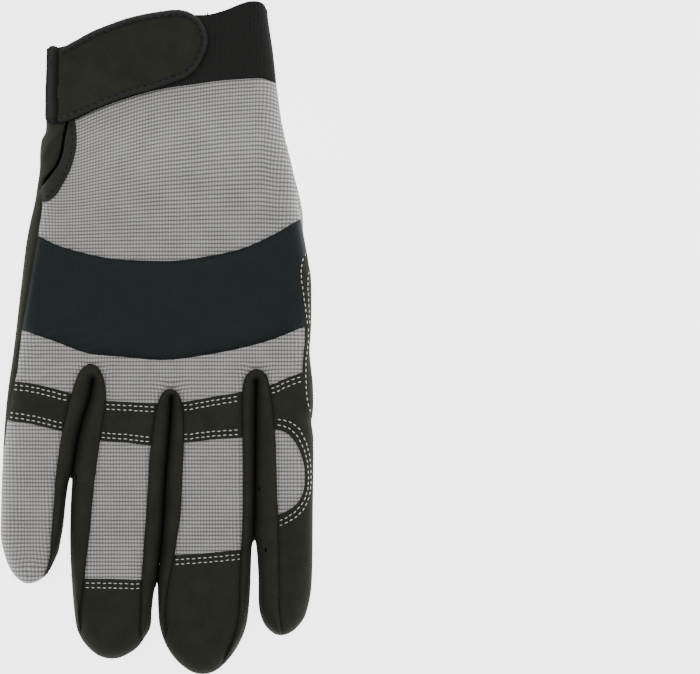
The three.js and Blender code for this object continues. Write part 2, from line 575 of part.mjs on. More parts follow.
// The palm is what the other panels leave, round both edges of the hand and under the fingers.
const tipRoom = [ring, middle].map((finger) =>
  prism(fingerColumn(finger, -seamGap, tipRim)).intersect(upperWide),
);
const plainRoom = [pinky, index].map((finger) =>
  prism(fingerColumn(finger, -1, 0)).intersect(upperWide),
);
const fingersOnly = [new THREE.Vector2(-reach, -2), new THREE.Vector2(handWidth + reach, -2), ...farSouth];
const backRooms = [...tipRoom, ...plainRoom, backRoom.subtract(prism(fingersOnly))];
const radialRoom = unite([
  prism(grown(radialUpper, seamGap)).intersect(upperWide),
  below(grown(radialUnder, seamGap)),
]);
const palmPanel = without(shell, ...backRooms, sidewallRoom, radialRoom, prism(grown(wrap, seamGap)),
  slitRoom.intersect(upperWide));

// Patches that lie on the palm
const hangingLayer = (thickness) =>
  handForm(hanging(seamGap + thickness)).subtract(handForm(hanging(seamGap)));
const onPalm = (rows, thickness) =>
  hangingLayer(thickness).intersect(below(loop(rowsOnHand(rows), rows.length)));
const palmPad = onPalm(padRows, padThickness);
const palmTongue = onPalm(tongueRows, tongueThickness);

// The thumb
const thumbSpace = grow(seamGap, seamGap, seamGap);
const thumbOf = (growth) => thumbForm(growth, "whole").subtract(thumbInner).subtract(handForm(thumbSpace));
const thumbShell = thumbOf(outside);
const thumbSeam = through(rowsOnHand(thumbSeamRows), 12);
const northWest = [new THREE.Vector2(-reach, -reach), new THREE.Vector2(-reach, handLength + reach),
  new THREE.Vector2(handWidth + reach, handLength + reach)];
const heart = loop(rowsOnHand(heartRows), 20);
const patchReach = 5; // the patch's cutter stands this far out of the thumb
const lowerThumb = thumbForm(grow(patchReach, 0, patchReach), "lower");
const heartRoom = prism(grown(heart, seamGap)).intersect(lowerThumb.translate([0, 0, seamGap]));
const thumbGrey = [...thumbSeam, ...northWest];
const thumbBack = thumbShell.intersect(prism(thumbGrey)).subtract(heartRoom);
const thumbFront = thumbShell.subtract(prism(grown(thumbGrey, seamGap)));
const thumbPatch = thumbOf(hanging(patchHeight)).intersect(prism(heart)).intersect(lowerThumb);

// The cuff and its strap
const cuffInner = handForm(grow(-elasticWall, -elasticWall, -elasticWall));
const [slotLeft, slotRight] = cuffSlot.map((across) => across * handWidth);
const slotLine = [new THREE.Vector2(slotLeft, 0), new THREE.Vector2(slotRight, 0),
  new THREE.Vector2(slotRight, 2 * handLength), new THREE.Vector2(slotLeft, 2 * handLength)];
const cuffBand = handForm(outside).subtract(cuffInner).intersect(cuffSide).subtract(above(slotLine));
const layer = (from, thickness) =>
  handForm(grow(0, from + thickness, 0)).subtract(handForm(grow(seamGap, from, 0)));
const strapFrom = seamGap + hookThickness + seamGap;
const strap = rowsOnHand(strapRows);
const onCuff = (points, from, thickness) => layer(from, thickness).intersect(above(points));
// The strap inside its binding, which goes round all but the strap's left end.
function strapInside(inset) {
  const points = grown(strap, -inset).slice(1, -3);
  const leftward = (point, from, to) => point.clone().add(to.clone().sub(from).multiplyScalar(3));
  points.unshift(leftward(points[0], strap[1], strap[0]));
  points.push(leftward(points.at(-1), strap.at(-4), strap.at(-3)));
  return prism(points);
}
const strapPanel = onCuff(strap, strapFrom, strapThickness).intersect(strapInside(bindingWidth + seamGap));
const strapBinding = onCuff(strap, strapFrom, bindingThickness).subtract(strapInside(bindingWidth));
const hookPatch = onCuff(rowsOnHand(hookRows), seamGap, hookThickness);
const cuffFold = onCuff(rowsOnHand(foldRows), seamGap, foldThickness);

// Colours and finishes
const knit = { color: 0x9a9795, roughness: 0.85 };
const suede = { color: 0x24241f, roughness: 0.95 };
const neoprene = { color: 0x191f22, roughness: 0.6 };
const elastic = { color: 0x101012, roughness: 0.9 };
const binding = { color: 0x2c2d30, roughness: 0.8 };

const panels = [
  { name: "back_panel", part: backPanel, finish: knit },
  { name: "knuckle_band", part: knuckleBand, finish: neoprene },
  { name: "knuckle_panel", part: knucklePanel, finish: knit },
  ...stripParts.map((entry) => ({ ...entry, finish: suede })),
  ...backs.map((entry) => ({ ...entry, finish: knit })),
  ...caps.map((entry) => ({ ...entry, finish: suede })),
  { name: "index_back", part: indexBack, finish: suede },
  { name: "index_window", part: indexWindow, finish: knit },
  ...sidewalls.map(({ name, part }) => ({ name: `sidewall_${name}`, part, finish: suede })),
  { name: "radial_patch", part: radialPatch, finish: suede },
  { name: "palm_panel", part: palmPanel, finish: suede },
  { name: "palm_pad", part: palmPad, finish: suede },
  { name: "palm_tongue", part: palmTongue, finish: suede },
  { name: "thumb_back", part: thumbBack, finish: knit },
  { name: "thumb_front", part: thumbFront, finish: suede },
  { name: "thumb_patch", part: thumbPatch, finish: suede },
  { name: "slit_binding", part: slitBinding, finish: binding },
  { name: "cuff_band", part: cuffBand, finish: elastic },
  { name: "cuff_fold", part: cuffFold, finish: elastic },
  { name: "strap", part: strapPanel, finish: suede },
  { name: "strap_binding", part: strapBinding, finish: binding },
  { name: "strap_hook_patch", part: hookPatch, finish: elastic },
];

// The glove lies flattened on the plane at flatCut, which becomes the floor.
const floor = prism(farPlane()).translate([0, 0, flatCut + reach - 3 * reach]);
function farPlane() {
  return [new THREE.Vector2(-reach, -2 * reach), new THREE.Vector2(handWidth + reach, -2 * reach),
    new THREE.Vector2(handWidth + reach, 2 * handLength), new THREE.Vector2(-reach, 2 * handLength)];
}
const laid = panels.map((panel) => ({ ...panel, part: largest(panel.part.subtract(floor)) }));
const boxes = laid.map(({ part }) => part.boundingBox());
const lowest = (axis) => Math.min(...boxes.map((box) => box.min[axis]));
const highest = (axis) => Math.max(...boxes.map((box) => box.max[axis]));
const centre = [0, 1].map((axis) => (lowest(axis) + highest(axis)) / 2);

const group = new THREE.Group();
for (const { name, part, finish } of laid) {
  const data = part.translate([-centre[0], -centre[1], -lowest(2)]).getMesh();
  const positions = new Float32Array(data.numVert * 3);
  for (let i = 0; i < data.numVert; i++) {
    const start = i * data.numProp;
    positions.set(data.vertProperties.subarray(start, start + 3), i * 3);
  }
  const geometry = new THREE.BufferGeometry();
  geometry.setAttribute("position", new THREE.BufferAttribute(positions, 3));
  geometry.setIndex(new THREE.BufferAttribute(data.triVerts, 1));
  geometry.computeVertexNormals();
  const mesh = new THREE.Mesh(geometry, new THREE.MeshStandardMaterial({ ...finish, metalness: 0 }));
  mesh.name = name;
  group.add(mesh);
}

export default group;
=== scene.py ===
"""The looks of a right-hand mechanic's glove that lies palm down, its thumb folded under the palm.

Outlines and seams are read on the photograph in pixels and laid on the floor plan in millimetres.
Each panel is cut from a grid, lifted onto the glove's swollen form and given its cloth thickness.
"""
import logging
import math
from dataclasses import dataclass, field
from enum import Enum
from typing import Callable, Optional, Sequence

import bpy
import numpy as np
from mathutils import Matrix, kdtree


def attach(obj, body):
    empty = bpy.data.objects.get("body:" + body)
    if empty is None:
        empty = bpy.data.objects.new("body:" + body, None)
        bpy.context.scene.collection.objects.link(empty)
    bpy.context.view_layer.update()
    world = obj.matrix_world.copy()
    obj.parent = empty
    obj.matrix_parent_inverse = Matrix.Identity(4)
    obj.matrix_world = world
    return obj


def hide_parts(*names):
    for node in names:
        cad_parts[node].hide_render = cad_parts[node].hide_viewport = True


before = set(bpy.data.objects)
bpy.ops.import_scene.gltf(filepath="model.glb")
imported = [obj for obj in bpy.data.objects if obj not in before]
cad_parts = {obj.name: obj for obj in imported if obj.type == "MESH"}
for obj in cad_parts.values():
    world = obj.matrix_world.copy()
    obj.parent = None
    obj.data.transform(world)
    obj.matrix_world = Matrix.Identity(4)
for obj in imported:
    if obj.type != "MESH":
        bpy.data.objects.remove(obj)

LOG = logging.getLogger("glove")
Array = np.ndarray
Pixels = Sequence[tuple[float, float]]
Relief = Callable[[Array, Array], Array]  # a number for each place on the plan
Laying = Callable[[Array, Relief], tuple[Array, Array]]  # points in space and the ways out there
Color = tuple[float, float, float]
Table = tuple[tuple[float, ...], tuple[float, ...]]
MM = 0.001
NO_LENGTH = 1e-9


class Side(Enum):
    """Which of the glove's two cloth layers a panel belongs to."""

    TOP = 1
    UNDER = -1


class Slot(Enum):
    """The material slots."""

    KNIT = "grey_knit"
    SUEDE = "black_suede"
    NEOPRENE = "neoprene"
    ELASTIC = "black_elastic"
    TAPE = "binding_tape"


@dataclass(frozen=True)
class Photo:
    """How a pixel of the photograph lies on the floor plan."""

    width: int = 700
    height: int = 674
    scale: float = 0.36  # millimetres to a pixel
    origin: tuple[float, float] = (156.67, 340.54)
    palm_shift: float = 362.0  # from the view of the back to the view of the palm

    def plan(self, pixels: Pixels) -> Array:
        """Plan points of pixels on the glove's back, in millimetres.

        Args:
            pixels: Places on the photograph.

        Returns:
            The points, a row for each.
        """
        points = np.asarray(pixels, dtype=float)
        across = (points[:, 0] - self.origin[0]) * self.scale
        return np.stack([across, (self.origin[1] - points[:, 1]) * self.scale], axis=1)

    def palm(self, pixels: Pixels) -> Array:
        """Plan points of pixels on the view of the palm, in millimetres."""
        return self.plan([(x - self.palm_shift, y) for x, y in pixels])


PHOTO = Photo()


# Lines on the plan

def ramp(low: float, high: float, value: Array) -> Array:
    """A smooth step from 0 to 1 as value goes from low to high."""
    share = np.clip((np.asarray(value, dtype=float) - low) / (high - low), 0, 1)
    return share * share * (3 - 2 * share)


def smooth(points: Array, closed: bool = False, step: float = 0.6) -> Array:
    """A centripetal Catmull-Rom curve through plan points.

    Args:
        points: The points that the curve goes through.
        closed: Whether its end meets its start.
        step: Spacing of the points returned, in millimetres.

    Returns:
        The curve's points; a closed curve doesn't repeat its first.
    """
    if closed:
        padded = np.vstack([points[-1:], points, points[:2]])
    else:
        padded = np.vstack([2 * points[0] - points[1], points, 2 * points[-1] - points[-2]])
    pieces = []
    for p0, p1, p2, p3 in zip(padded, padded[1:], padded[2:], padded[3:]):
        spans = [max(1e-6, math.dist(a, b)) ** 0.5 for a, b in ((p0, p1), (p1, p2), (p2, p3))]
        knots = np.cumsum([0.0] + spans)
        count = max(1, round(math.dist(p1, p2) / step))
        t = np.linspace(knots[1], knots[2], count, endpoint=False)[:, None]

        def between(a: Array, b: Array, start: float, end: float) -> Array:
            """A point on the way from a to b at the knot t."""
            return a + (b - a) * (t - start) / (end - start)

        a1 = between(p0, p1, knots[0], knots[1])
        a2 = between(p1, p2, knots[1], knots[2])
        a3 = between(p2, p3, knots[2], knots[3])
        b1 = between(a1, a2, knots[0], knots[2])
        b2 = between(a2, a3, knots[1], knots[3])
        pieces.append(between(b1, b2, knots[1], knots[2]))
    curve = np.vstack(pieces)
    return curve if closed else np.vstack([curve, points[-1:]])


def strokes(*parts: Array) -> Array:
    """One closed outline from smooth strokes that meet at corners."""
    return np.vstack([smooth(part)[:-1] if math.dist(part[-1], after[0]) < 1e-6 else smooth(part)
                      for part, after in zip(parts, parts[1:] + parts[:1])])


def unit(vectors: Array) -> Array:
    """Vectors brought to length 1; those with next to no length stay short."""
    return vectors / np.maximum(np.linalg.norm(vectors, axis=1, keepdims=True), NO_LENGTH)


def beside(line: Array, *offsets: float) -> list[Array]:
    """Copies of a line shifted sideways, to its left where the offset is positive."""
    along = unit(np.gradient(line, axis=0))
    return [line + offset * np.stack([-along[:, 1], along[:, 0]], axis=1) for offset in offsets]


@dataclass(frozen=True)
class Reading:
    """What a line says of points: signed distance, the way to its positive side, place along it."""

    distance: Array
    direction: Array
    along: Array


class Line:
    """A seam or outline that answers how far points lie from it."""

    ON_LINE = 1e-6
    NO_SQUARE = 1e-12

    def __init__(self, points: Array, closed: bool = False) -> None:
        """Keeps the line turned so that its positive side is inside, or to its left if open.

        Args:
            points: The line's points in order.
            closed: Whether its ends join.
        """
        if closed:
            following = np.roll(points, -1, axis=0)
            area = np.sum(points[:, 0] * following[:, 1] - following[:, 0] * points[:, 1])
            points = points if area > 0 else points[::-1]
        self.points = points
        self.closed = closed
        ahead = np.roll(points, -1, axis=0) - points
        length = np.maximum(np.linalg.norm(ahead, axis=1), NO_LENGTH)
        self.normal = np.stack([-ahead[:, 1], ahead[:, 0]], axis=1) / length[:, None]
        self.run = np.concatenate([[0.0], np.cumsum(length)[:-1]])
        self.tree = kdtree.KDTree(len(points))
        for i, (x, y) in enumerate(points):
            self.tree.insert((x, y, 0.0), i)
        self.tree.balance()

    def _segment(self, where: Array, start: Array) -> tuple[Array, Array, Array]:
        """Nearest points on the segments that begin at start, the shares along them and gaps.

        Args:
            where: Plan points.
            start: The point that each one's segment begins at.

        Returns:
            The nearest points, the shares and the gaps.
        """
        end = (start + 1) % len(self.points)
        a, ab = self.points[start], self.points[end] - self.points[start]
        square = np.maximum(np.sum(ab * ab, axis=1), self.NO_SQUARE)
        share = np.sum((where - a) * ab, axis=1) / square
        share = np.clip(share, 0, 1)
        foot = a + ab * share[:, None]
        return foot, share, np.linalg.norm(where - foot, axis=1)

    def _holds(self, where: Array) -> Array:
        """Whether points lie inside the closed line, by the crossings to their right.

        Args:
            where: Plan points.

        Returns:
            True for each point inside.
        """
        order = np.argsort(where[:, 1])
        x, y = where[order].T
        held = np.zeros(len(where), dtype=bool)
        for a, b in zip(self.points, np.roll(self.points, -1, axis=0)):
            low, high = np.searchsorted(y, sorted((a[1], b[1])))
            if low < high:
                crossing = a[0] + (y[low:high] - a[1]) * (b[0] - a[0]) / (b[1] - a[1])
                held[low:high] ^= x[low:high] < crossing
        result = np.empty_like(held)
        result[order] = held
        return result

    def read(self, where: Array, reach: float = 12.0) -> Reading:
        """Reads points near the line; those past reach of its box count as outside by reach.

        Args:
            where: Plan points.
            reach: Margin round the line's box within which distances are worked out.

        Returns:
            The reading, a row for each point.
        """
        low, high = self.points.min(axis=0) - reach, self.points.max(axis=0) + reach
        near = np.flatnonzero(np.all((where > low) & (where < high), axis=1))
        distance = np.full(len(where), -reach)
        direction = np.zeros((len(where), 2))
        along = np.zeros(len(where))
        if len(near):
            here = where[near]
            find = self.tree.find
            index = np.array([find((x, y, 0.0))[1] for x, y in here])
            last = len(self.points)
            before = (index - 1) % last if self.closed else np.maximum(index - 1, 0)
            after = index if self.closed else np.minimum(index, last - 2)
            first = self._segment(here, before)
            second = self._segment(here, after)
            pick = first[2] < second[2]
            foot = np.where(pick[:, None], first[0], second[0])
            share = np.where(pick, first[1], second[1])
            start = np.where(pick, before, after)
            gap = here - foot
            size = np.linalg.norm(gap, axis=1)
            corner = (share <= 0) | (share >= 1)
            blunt = self.normal[before] + self.normal[after]
            outward = np.where(corner[:, None], blunt, self.normal[start])
            within = self._holds(here) if self.closed else np.sum(gap * outward, axis=1) >= 0
            sign = np.where(within, 1.0, -1.0)
            tiny = size < self.ON_LINE
            distance[near] = size * sign
            way = gap * (sign / np.maximum(size, NO_LENGTH))[:, None]
            direction[near] = np.where(tiny[:, None], self.normal[start], way)
            along[near] = self.run[start] + share * np.linalg.norm(
                self.points[(start + 1) % last] - self.points[start], axis=1)
        return Reading(distance, direction, along)

    def inside(self, x: Array, y: Array, reach: float = 12.0) -> Array:
        """Signed distance, positive inside or to the left."""
        return self.read(np.stack([x, y], axis=1), reach).distance

    def away(self, x: Array, y: Array, reach: float = 12.0) -> Array:
        """Distance without a sign; never more than reach."""
        return np.minimum(np.abs(self.inside(x, y, reach)), reach)

    def loop(self) -> Array:
        """The points with the first repeated at the end."""
        return np.vstack([self.points, self.points[:1]])


def over(line: Array) -> Relief:
    """How far points lie above a line that runs across the hand, measured along the hand."""
    ordered = line[np.argsort(line[:, 0])]
    return lambda x, y: y - np.interp(x, ordered[:, 0], ordered[:, 1])


def right_of(line: Array) -> Relief:
    """How far points lie to the right of a line that runs along the hand."""
    ordered = line[np.argsort(line[:, 1])]
    return lambda x, y: x - np.interp(y, ordered[:, 1], ordered[:, 0])


# Sheets of cloth on the plan

def joined_faces(parts: Sequence) -> Array:
    """The faces of several sheets or cloths, numbered on from part to part."""
    starts = np.cumsum([0] + [part.count for part in parts[:-1]])
    return np.vstack([part.faces + start for part, start in zip(parts, starts)])


class Sheet:
    """A flat net of triangles whose points carry numbers, in columns.

    Columns: u and v on the flat cloth, x and y on the plan, distance from the outline's edge, and
    the two parts of the way in from that edge.
    """

    U, V, X, Y, EDGE, WAY_X, WAY_Y = range(7)
    TINY = 1e-6
    SNAP = 0.09  # a cut goes through a point that lies this near it, so that it leaves no slivers

    def __init__(self, data: Array, faces: Array) -> None:
        """Keeps the points' numbers and the triangles.

        Args:
            data: A row of numbers for each point.
            faces: Three rows for each triangle.
        """
        self.data = data
        self.faces = faces
        self.count = len(data)

    @classmethod
    def grid(cls, low: Array, high: Array, step: float) -> "Sheet":
        """A square net from a grid primitive that covers a box of the plan.

        Args:
            low: The box's lower corner.
            high: Its upper corner.
            step: A square's size.

        Returns:
            The net.
        """
        counts = [max(2, int(round((b - a) / step))) for a, b in zip(low, high)]
        bpy.ops.mesh.primitive_grid_add(x_subdivisions=counts[0], y_subdivisions=counts[1], size=1)
        net = bpy.context.object
        flat = np.empty(len(net.data.vertices) * 3)
        net.data.vertices.foreach_get("co", flat)
        corners = np.empty(len(net.data.polygons) * 4, dtype=np.int64)
        net.data.polygons.foreach_get("vertices", corners)
        mesh = net.data
        bpy.data.objects.remove(net)
        bpy.data.meshes.remove(mesh)
        place = (flat.reshape(-1, 3)[:, :2] + 0.5) * (high - low) + low
        quads = corners.reshape(-1, 4)
        faces = np.vstack([quads[:, [0, 1, 2]], quads[:, [0, 2, 3]]])
        data = np.zeros((len(place), 7))
        data[:, :2] = place
        data[:, 2:4] = place
        return cls(data, faces)

    def column(self, *names: int) -> tuple[Array, ...]:
        """Columns by their names."""
        return tuple(self.data[:, name] for name in names)

    @property
    def place(self) -> Array:
        """The points' places on the plan."""
        return self.data[:, self.X:self.EDGE]

    def measure(self, reading: Reading) -> None:
        """Notes the points' distances from an outline and the ways in from it."""
        self.data[:, self.EDGE] = reading.distance
        self.data[:, self.WAY_X:] = reading.direction

    def cloth(self, points: Array, side: Side) -> "Cloth":
        """The sheet at points in space, with its faces outward."""
        faces = self.faces if side is Side.TOP else self.faces[:, ::-1]
        return Cloth(points, faces, self.data[:, :self.X].copy())

    @staticmethod
    def joined(*parts: "Sheet") -> "Sheet":
        """Several sheets as one, not merged where they meet."""
        return Sheet(np.vstack([part.data for part in parts]), joined_faces(parts))

    def cut(self, value: Array) -> "Sheet":
        """The part where a value at the points is positive, with its edge on the value's zero.

        Args:
            value: A number for each point.

        Returns:
            The part.
        """
        value = np.where(np.abs(value) < self.TINY, self.TINY, value)
        inside = value > 0
        kept = inside[self.faces]
        count = kept.sum(axis=1)
        total = len(self.data)
        lone = self._turned(self.faces[count == 1], kept[count == 1])
        pair = self._turned(self.faces[count == 2], ~kept[count == 2])
        starts = np.concatenate([lone[:, 0], lone[:, 0], pair[:, 1], pair[:, 2]])
        ends = np.concatenate([lone[:, 1], lone[:, 2], pair[:, 0], pair[:, 0]])
        unique, where = np.unique(starts * total + ends, return_inverse=True)
        a, b = unique // total, unique % total
        share = (value[a] / (value[a] - value[b]))[:, None]
        data = np.vstack([self.data, self.data[a] * (1 - share) + self.data[b] * share])
        new = where.reshape(-1) + total
        n, m = len(lone), len(pair)
        e1, e2, e3, e4 = new[:n], new[n:2 * n], new[2 * n:2 * n + m], new[2 * n + m:]
        faces = np.vstack([
            self.faces[count == 3],
            np.stack([lone[:, 0], e1, e2], axis=1),
            np.stack([e3, pair[:, 1], pair[:, 2]], axis=1),
            np.stack([e3, pair[:, 2], e4], axis=1),
        ])
        used, renumbered = np.unique(faces, return_inverse=True)
        return Sheet(data[used], renumbered.reshape(-1, 3))

    @staticmethod
    def _turned(faces: Array, marked: Array) -> Array:
        """Triangles turned so that their one marked corner comes first."""
        first = np.argmax(marked, axis=1)[:, None] if len(faces) else np.zeros((0, 1), dtype=int)
        return np.take_along_axis(faces, (first + np.arange(3)) % 3, axis=1)

    def split(self, rule: Relief) -> tuple["Sheet", "Sheet"]:
        """The parts where a rule of the plan is positive and where it isn't.

        Args:
            rule: Gives a number for each place.

        Returns:
            The two parts.
        """
        x, y = self.column(self.X, self.Y)
        value = rule(x, y)
        value = np.where(np.abs(value) < self.SNAP, 2 * self.TINY, value)
        return self.cut(value), self.cut(-value)


@dataclass
class Cloth:
    """A surface in space with its place on the flat cloth, in millimetres."""

    points: Array
    faces: Array
    flat: Array

    @property
    def count(self) -> int:
        """How many points there are."""
        return len(self.points)

    @staticmethod
    def joined(*parts: "Cloth") -> "Cloth":
        """Several surfaces as one, not yet merged where they meet."""
        points = np.vstack([part.points for part in parts])
        return Cloth(points, joined_faces(parts), np.vstack([part.flat for part in parts]))


# The glove's swollen form

@dataclass(frozen=True)
class GloveForm:
    """The stuffed form that the cloth lies on; sizes in millimetres."""

    hand_length: float = 113.0
    hand_width: float = 111.0
    corner: tuple[float, float] = (54.961, 27.525)  # from the frame to the little-finger web
    finger_depth: float = 13.6
    palm_depth: float = 14.0
    cuff_depth: float = 12.6
    palm_lift: float = 15.2
    edge_lift: float = 5.6
    pressed: float = 0.35
    round_off: float = 8.5  # how far in from its edge the form is rounded
    power: float = 2.4
    steepest: float = 25.0
    rim_fade: float = 1.6  # relief grows from nothing over this much of the edge
    slope_step: float = 0.5
    depth_places: tuple[float, ...] = (-0.3, 0.1, 0.7, 1.0)  # shares of the hand's length

    def middle(self, x: Array, y: Array) -> Array:
        """Height of the surface midway between the back and the palm.

        Args:
            x: Places across the hand.
            y: Places along the hand.

        Returns:
            The heights.
        """
        across = (x + self.corner[0]) / (0.55 * self.hand_width)
        along = (y + self.corner[1]) / self.hand_length
        arch = ramp(1.14, 0.74, along) * ramp(-0.5, 0.1, along)
        lift = np.sin(np.pi / 2 * np.clip(across, 0, 1))
        resting = (self.finger_depth + (self.cuff_depth - self.finger_depth) * ramp(0.6, 1, along)) / 2
        return resting + (self.edge_lift + (self.palm_lift - self.edge_lift) * lift) * arch - self.pressed

    def half(self, y: Array) -> Array:
        """Half the form's thickness."""
        depths = [self.finger_depth, self.palm_depth, self.palm_depth, self.cuff_depth]
        return np.interp((y + self.corner[1]) / self.hand_length, self.depth_places, depths) / 2

    def rounded(self, edge: Array) -> tuple[Array, Array]:
        """Share of the full thickness at a distance from the edge, and its slope.

        Args:
            edge: Distances in from the edge.

        Returns:
            The shares and the slopes.
        """
        share = np.clip(edge / self.round_off, 0, 1)
        rest = np.maximum(1 - (1 - share) ** self.power, 1e-9)
        slope = rest ** (1 / self.power - 1) * (1 - share) ** (self.power - 1) / self.round_off
        return rest ** (1 / self.power), np.minimum(slope, self.steepest)

    def slopes(self, x: Array, y: Array) -> tuple[Array, Array]:
        """How the middle surface rises across and along the hand.

        Args:
            x: Places across the hand.
            y: Places along the hand.

        Returns:
            The two slopes.
        """
        step = self.slope_step
        rise_x = (self.middle(x + step, y) - self.middle(x - step, y)) / (2 * step)
        rise_y = (self.middle(x, y + step) - self.middle(x, y - step)) / (2 * step)
        return rise_x, rise_y

    def lay(self, sheet: Sheet, side: Side, relief: Array) -> Cloth:
        """Lifts a flat sheet onto the form.

        Args:
            sheet: The sheet, with distances from the outline's edge.
            side: The back or the palm.
            relief: How far each point stands proud of the form.

        Returns:
            The cloth in space, faces outward.
        """
        x, y, edge, way_x, way_y = sheet.column(*range(Sheet.X, Sheet.WAY_Y + 1))
        points, _ = self.surface(x, y, edge, np.stack([way_x, way_y], axis=1), side, relief)
        return sheet.cloth(points, side)

    def surface(self, x: Array, y: Array, edge: Array, way: Array, side: Side,
                relief: Array) -> tuple[Array, Array]:
        """Points of the form's surface and the way out of it there.

        Args:
            x: Places across the hand.
            y: Places along the hand.
            edge: Distances in from the edge.
            way: The ways in from it.
            side: The back or the palm.
            relief: How far the cloth stands proud.

        Returns:
            The points and the ways out.
        """
        share, slope = self.rounded(edge)
        rise_x, rise_y = self.slopes(x, y)
        way = unit(way)
        half, sign = self.half(y), side.value
        height = self.middle(x, y) + sign * half * share
        lean_x = rise_x + sign * half * slope * way[:, 0]
        lean_y = rise_y + sign * half * slope * way[:, 1]
        normal = sign * np.stack([-lean_x, -lean_y, np.ones_like(x)], axis=1)
        height = height + sign * relief * ramp(-0.3, self.rim_fade, edge)
        return np.stack([x, y, np.maximum(height, 0.0)], axis=1), unit(normal)


FORM = GloveForm()


# Making Blender objects

def clear_selection() -> None:
    """Nothing selected."""
    bpy.ops.object.select_all(action="DESELECT")


def choose(item: bpy.types.Object) -> None:
    """Makes one object the only one selected, and active.

    Args:
        item: The object.
    """
    clear_selection()
    item.select_set(True)
    bpy.context.view_layer.objects.active = item


def as_object(name: str, cloth: Cloth) -> bpy.types.Object:
    """A mesh object from a cloth, in metres, with its flat place as the weave map.

    Args:
        name: The object's name.
        cloth: Its surface.

    Returns:
        The object, in the scene.
    """
    mesh = bpy.data.meshes.new(name)
    mesh.from_pydata((cloth.points * MM).tolist(), [], cloth.faces.tolist())
    layer = mesh.uv_layers.new(name="weave")
    corner = np.empty(len(mesh.loops), dtype=np.int64)
    mesh.loops.foreach_get("vertex_index", corner)
    layer.data.foreach_set("uv", (cloth.flat[corner] * MM).ravel())
    item = bpy.data.objects.new(name, mesh)
    bpy.context.collection.objects.link(item)
    return item


def merged(item: bpy.types.Object, distance: float = 0.02) -> bpy.types.Object:
    """Merges points that lie together, in edit mode.

    Args:
        item: The object.
        distance: How near they lie, in millimetres.

    Returns:
        The same object.
    """
    choose(item)
    bpy.ops.object.mode_set(mode="EDIT")
    bpy.ops.mesh.select_all(action="SELECT")
    bpy.ops.mesh.remove_doubles(threshold=distance * MM)
    bpy.ops.object.mode_set(mode="OBJECT")
    return item


def thickened(item: bpy.types.Object, thickness: float) -> bpy.types.Object:
    """Gives a cloth its thickness, inward.

    Args:
        item: The cloth's surface.
        thickness: Its thickness in millimetres.

    Returns:
        The same object.
    """
    choose(merged(item))
    bpy.ops.object.modifier_add(type="SOLIDIFY")
    wall = item.modifiers[-1]
    wall.thickness = thickness * MM
    wall.offset = -1
    bpy.ops.object.modifier_apply(modifier=wall.name)
    for corner in item.data.vertices:
        corner.co.z = max(corner.co.z, 0.0)
    return item


@dataclass(frozen=True)
class Finish:
    """A material with the slot that it belongs to."""

    material: bpy.types.Material
    slot: Slot


def placed(item: bpy.types.Object, finish: Finish, nodes: Sequence[str] = (),
           angle: float = 50.0) -> bpy.types.Object:
    """Dresses a finished piece, hands it to the frame and logs it.

    Args:
        item: The piece.
        finish: Its finish.
        nodes: The nodes that it stands for.
        angle: Edges sharper than this, in degrees, stay sharp.

    Returns:
        The same piece.
    """
    choose(item)
    bpy.ops.object.shade_smooth_by_angle(angle=math.radians(angle))
    item.data.materials.clear()
    item.data.materials.append(finish.material)
    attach(item, "root")
    if nodes:
        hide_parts(*nodes)
    LOG.info("%s: %d faces", item.name, len(item.data.polygons))
    return item


def made(name: str, cloth: Cloth, wall: float, finish: Finish, nodes: Sequence[str]) -> bpy.types.Object:
    """A finished piece from a cloth and its wall's thickness."""
    return placed(thickened(as_object(name, cloth), wall), finish, nodes)


# Materials

class Wire:
    """A shader socket that can be used in an expression."""

    def __init__(self, looks: "Looks", socket: bpy.types.NodeSocket) -> None:
        """Keeps the socket and the material that it is in."""
        self.looks = looks
        self.socket = socket

    def _math(self, operation: str, *values: object) -> "Wire":
        """A Math node on this value and others."""
        return self.looks.math(operation, self, *values)

    def __add__(self, other: object) -> "Wire":
        """Sum."""
        return self._math("ADD", other)

    __radd__ = __add__

    def __sub__(self, other: object) -> "Wire":
        """Difference."""
        return self._math("SUBTRACT", other)

    def __rsub__(self, other: object) -> "Wire":
        """Difference from a number."""
        return self.looks.math("SUBTRACT", other, self)

    def __mul__(self, other: object) -> "Wire":
        """Product."""
        return self._math("MULTIPLY", other)

    __rmul__ = __mul__

    def __truediv__(self, other: object) -> "Wire":
        """Quotient."""
        return self._math("DIVIDE", other)

    def __pow__(self, other: object) -> "Wire":
        """Power."""
        return self._math("POWER", other)

    def cosine(self) -> "Wire":
        """Cosine."""
        return self._math("COSINE")

    def limited(self) -> "Wire":
        """The value kept between 0 and 1."""
        return self.looks.wire("ShaderNodeClamp", {}, {"Value": self})

    def wave(self) -> "Wire":
        """A smooth wave from 0 to 1 and back, one for each whole step of the value."""
        return (self * math.tau).cosine() * 0.5 + 0.5


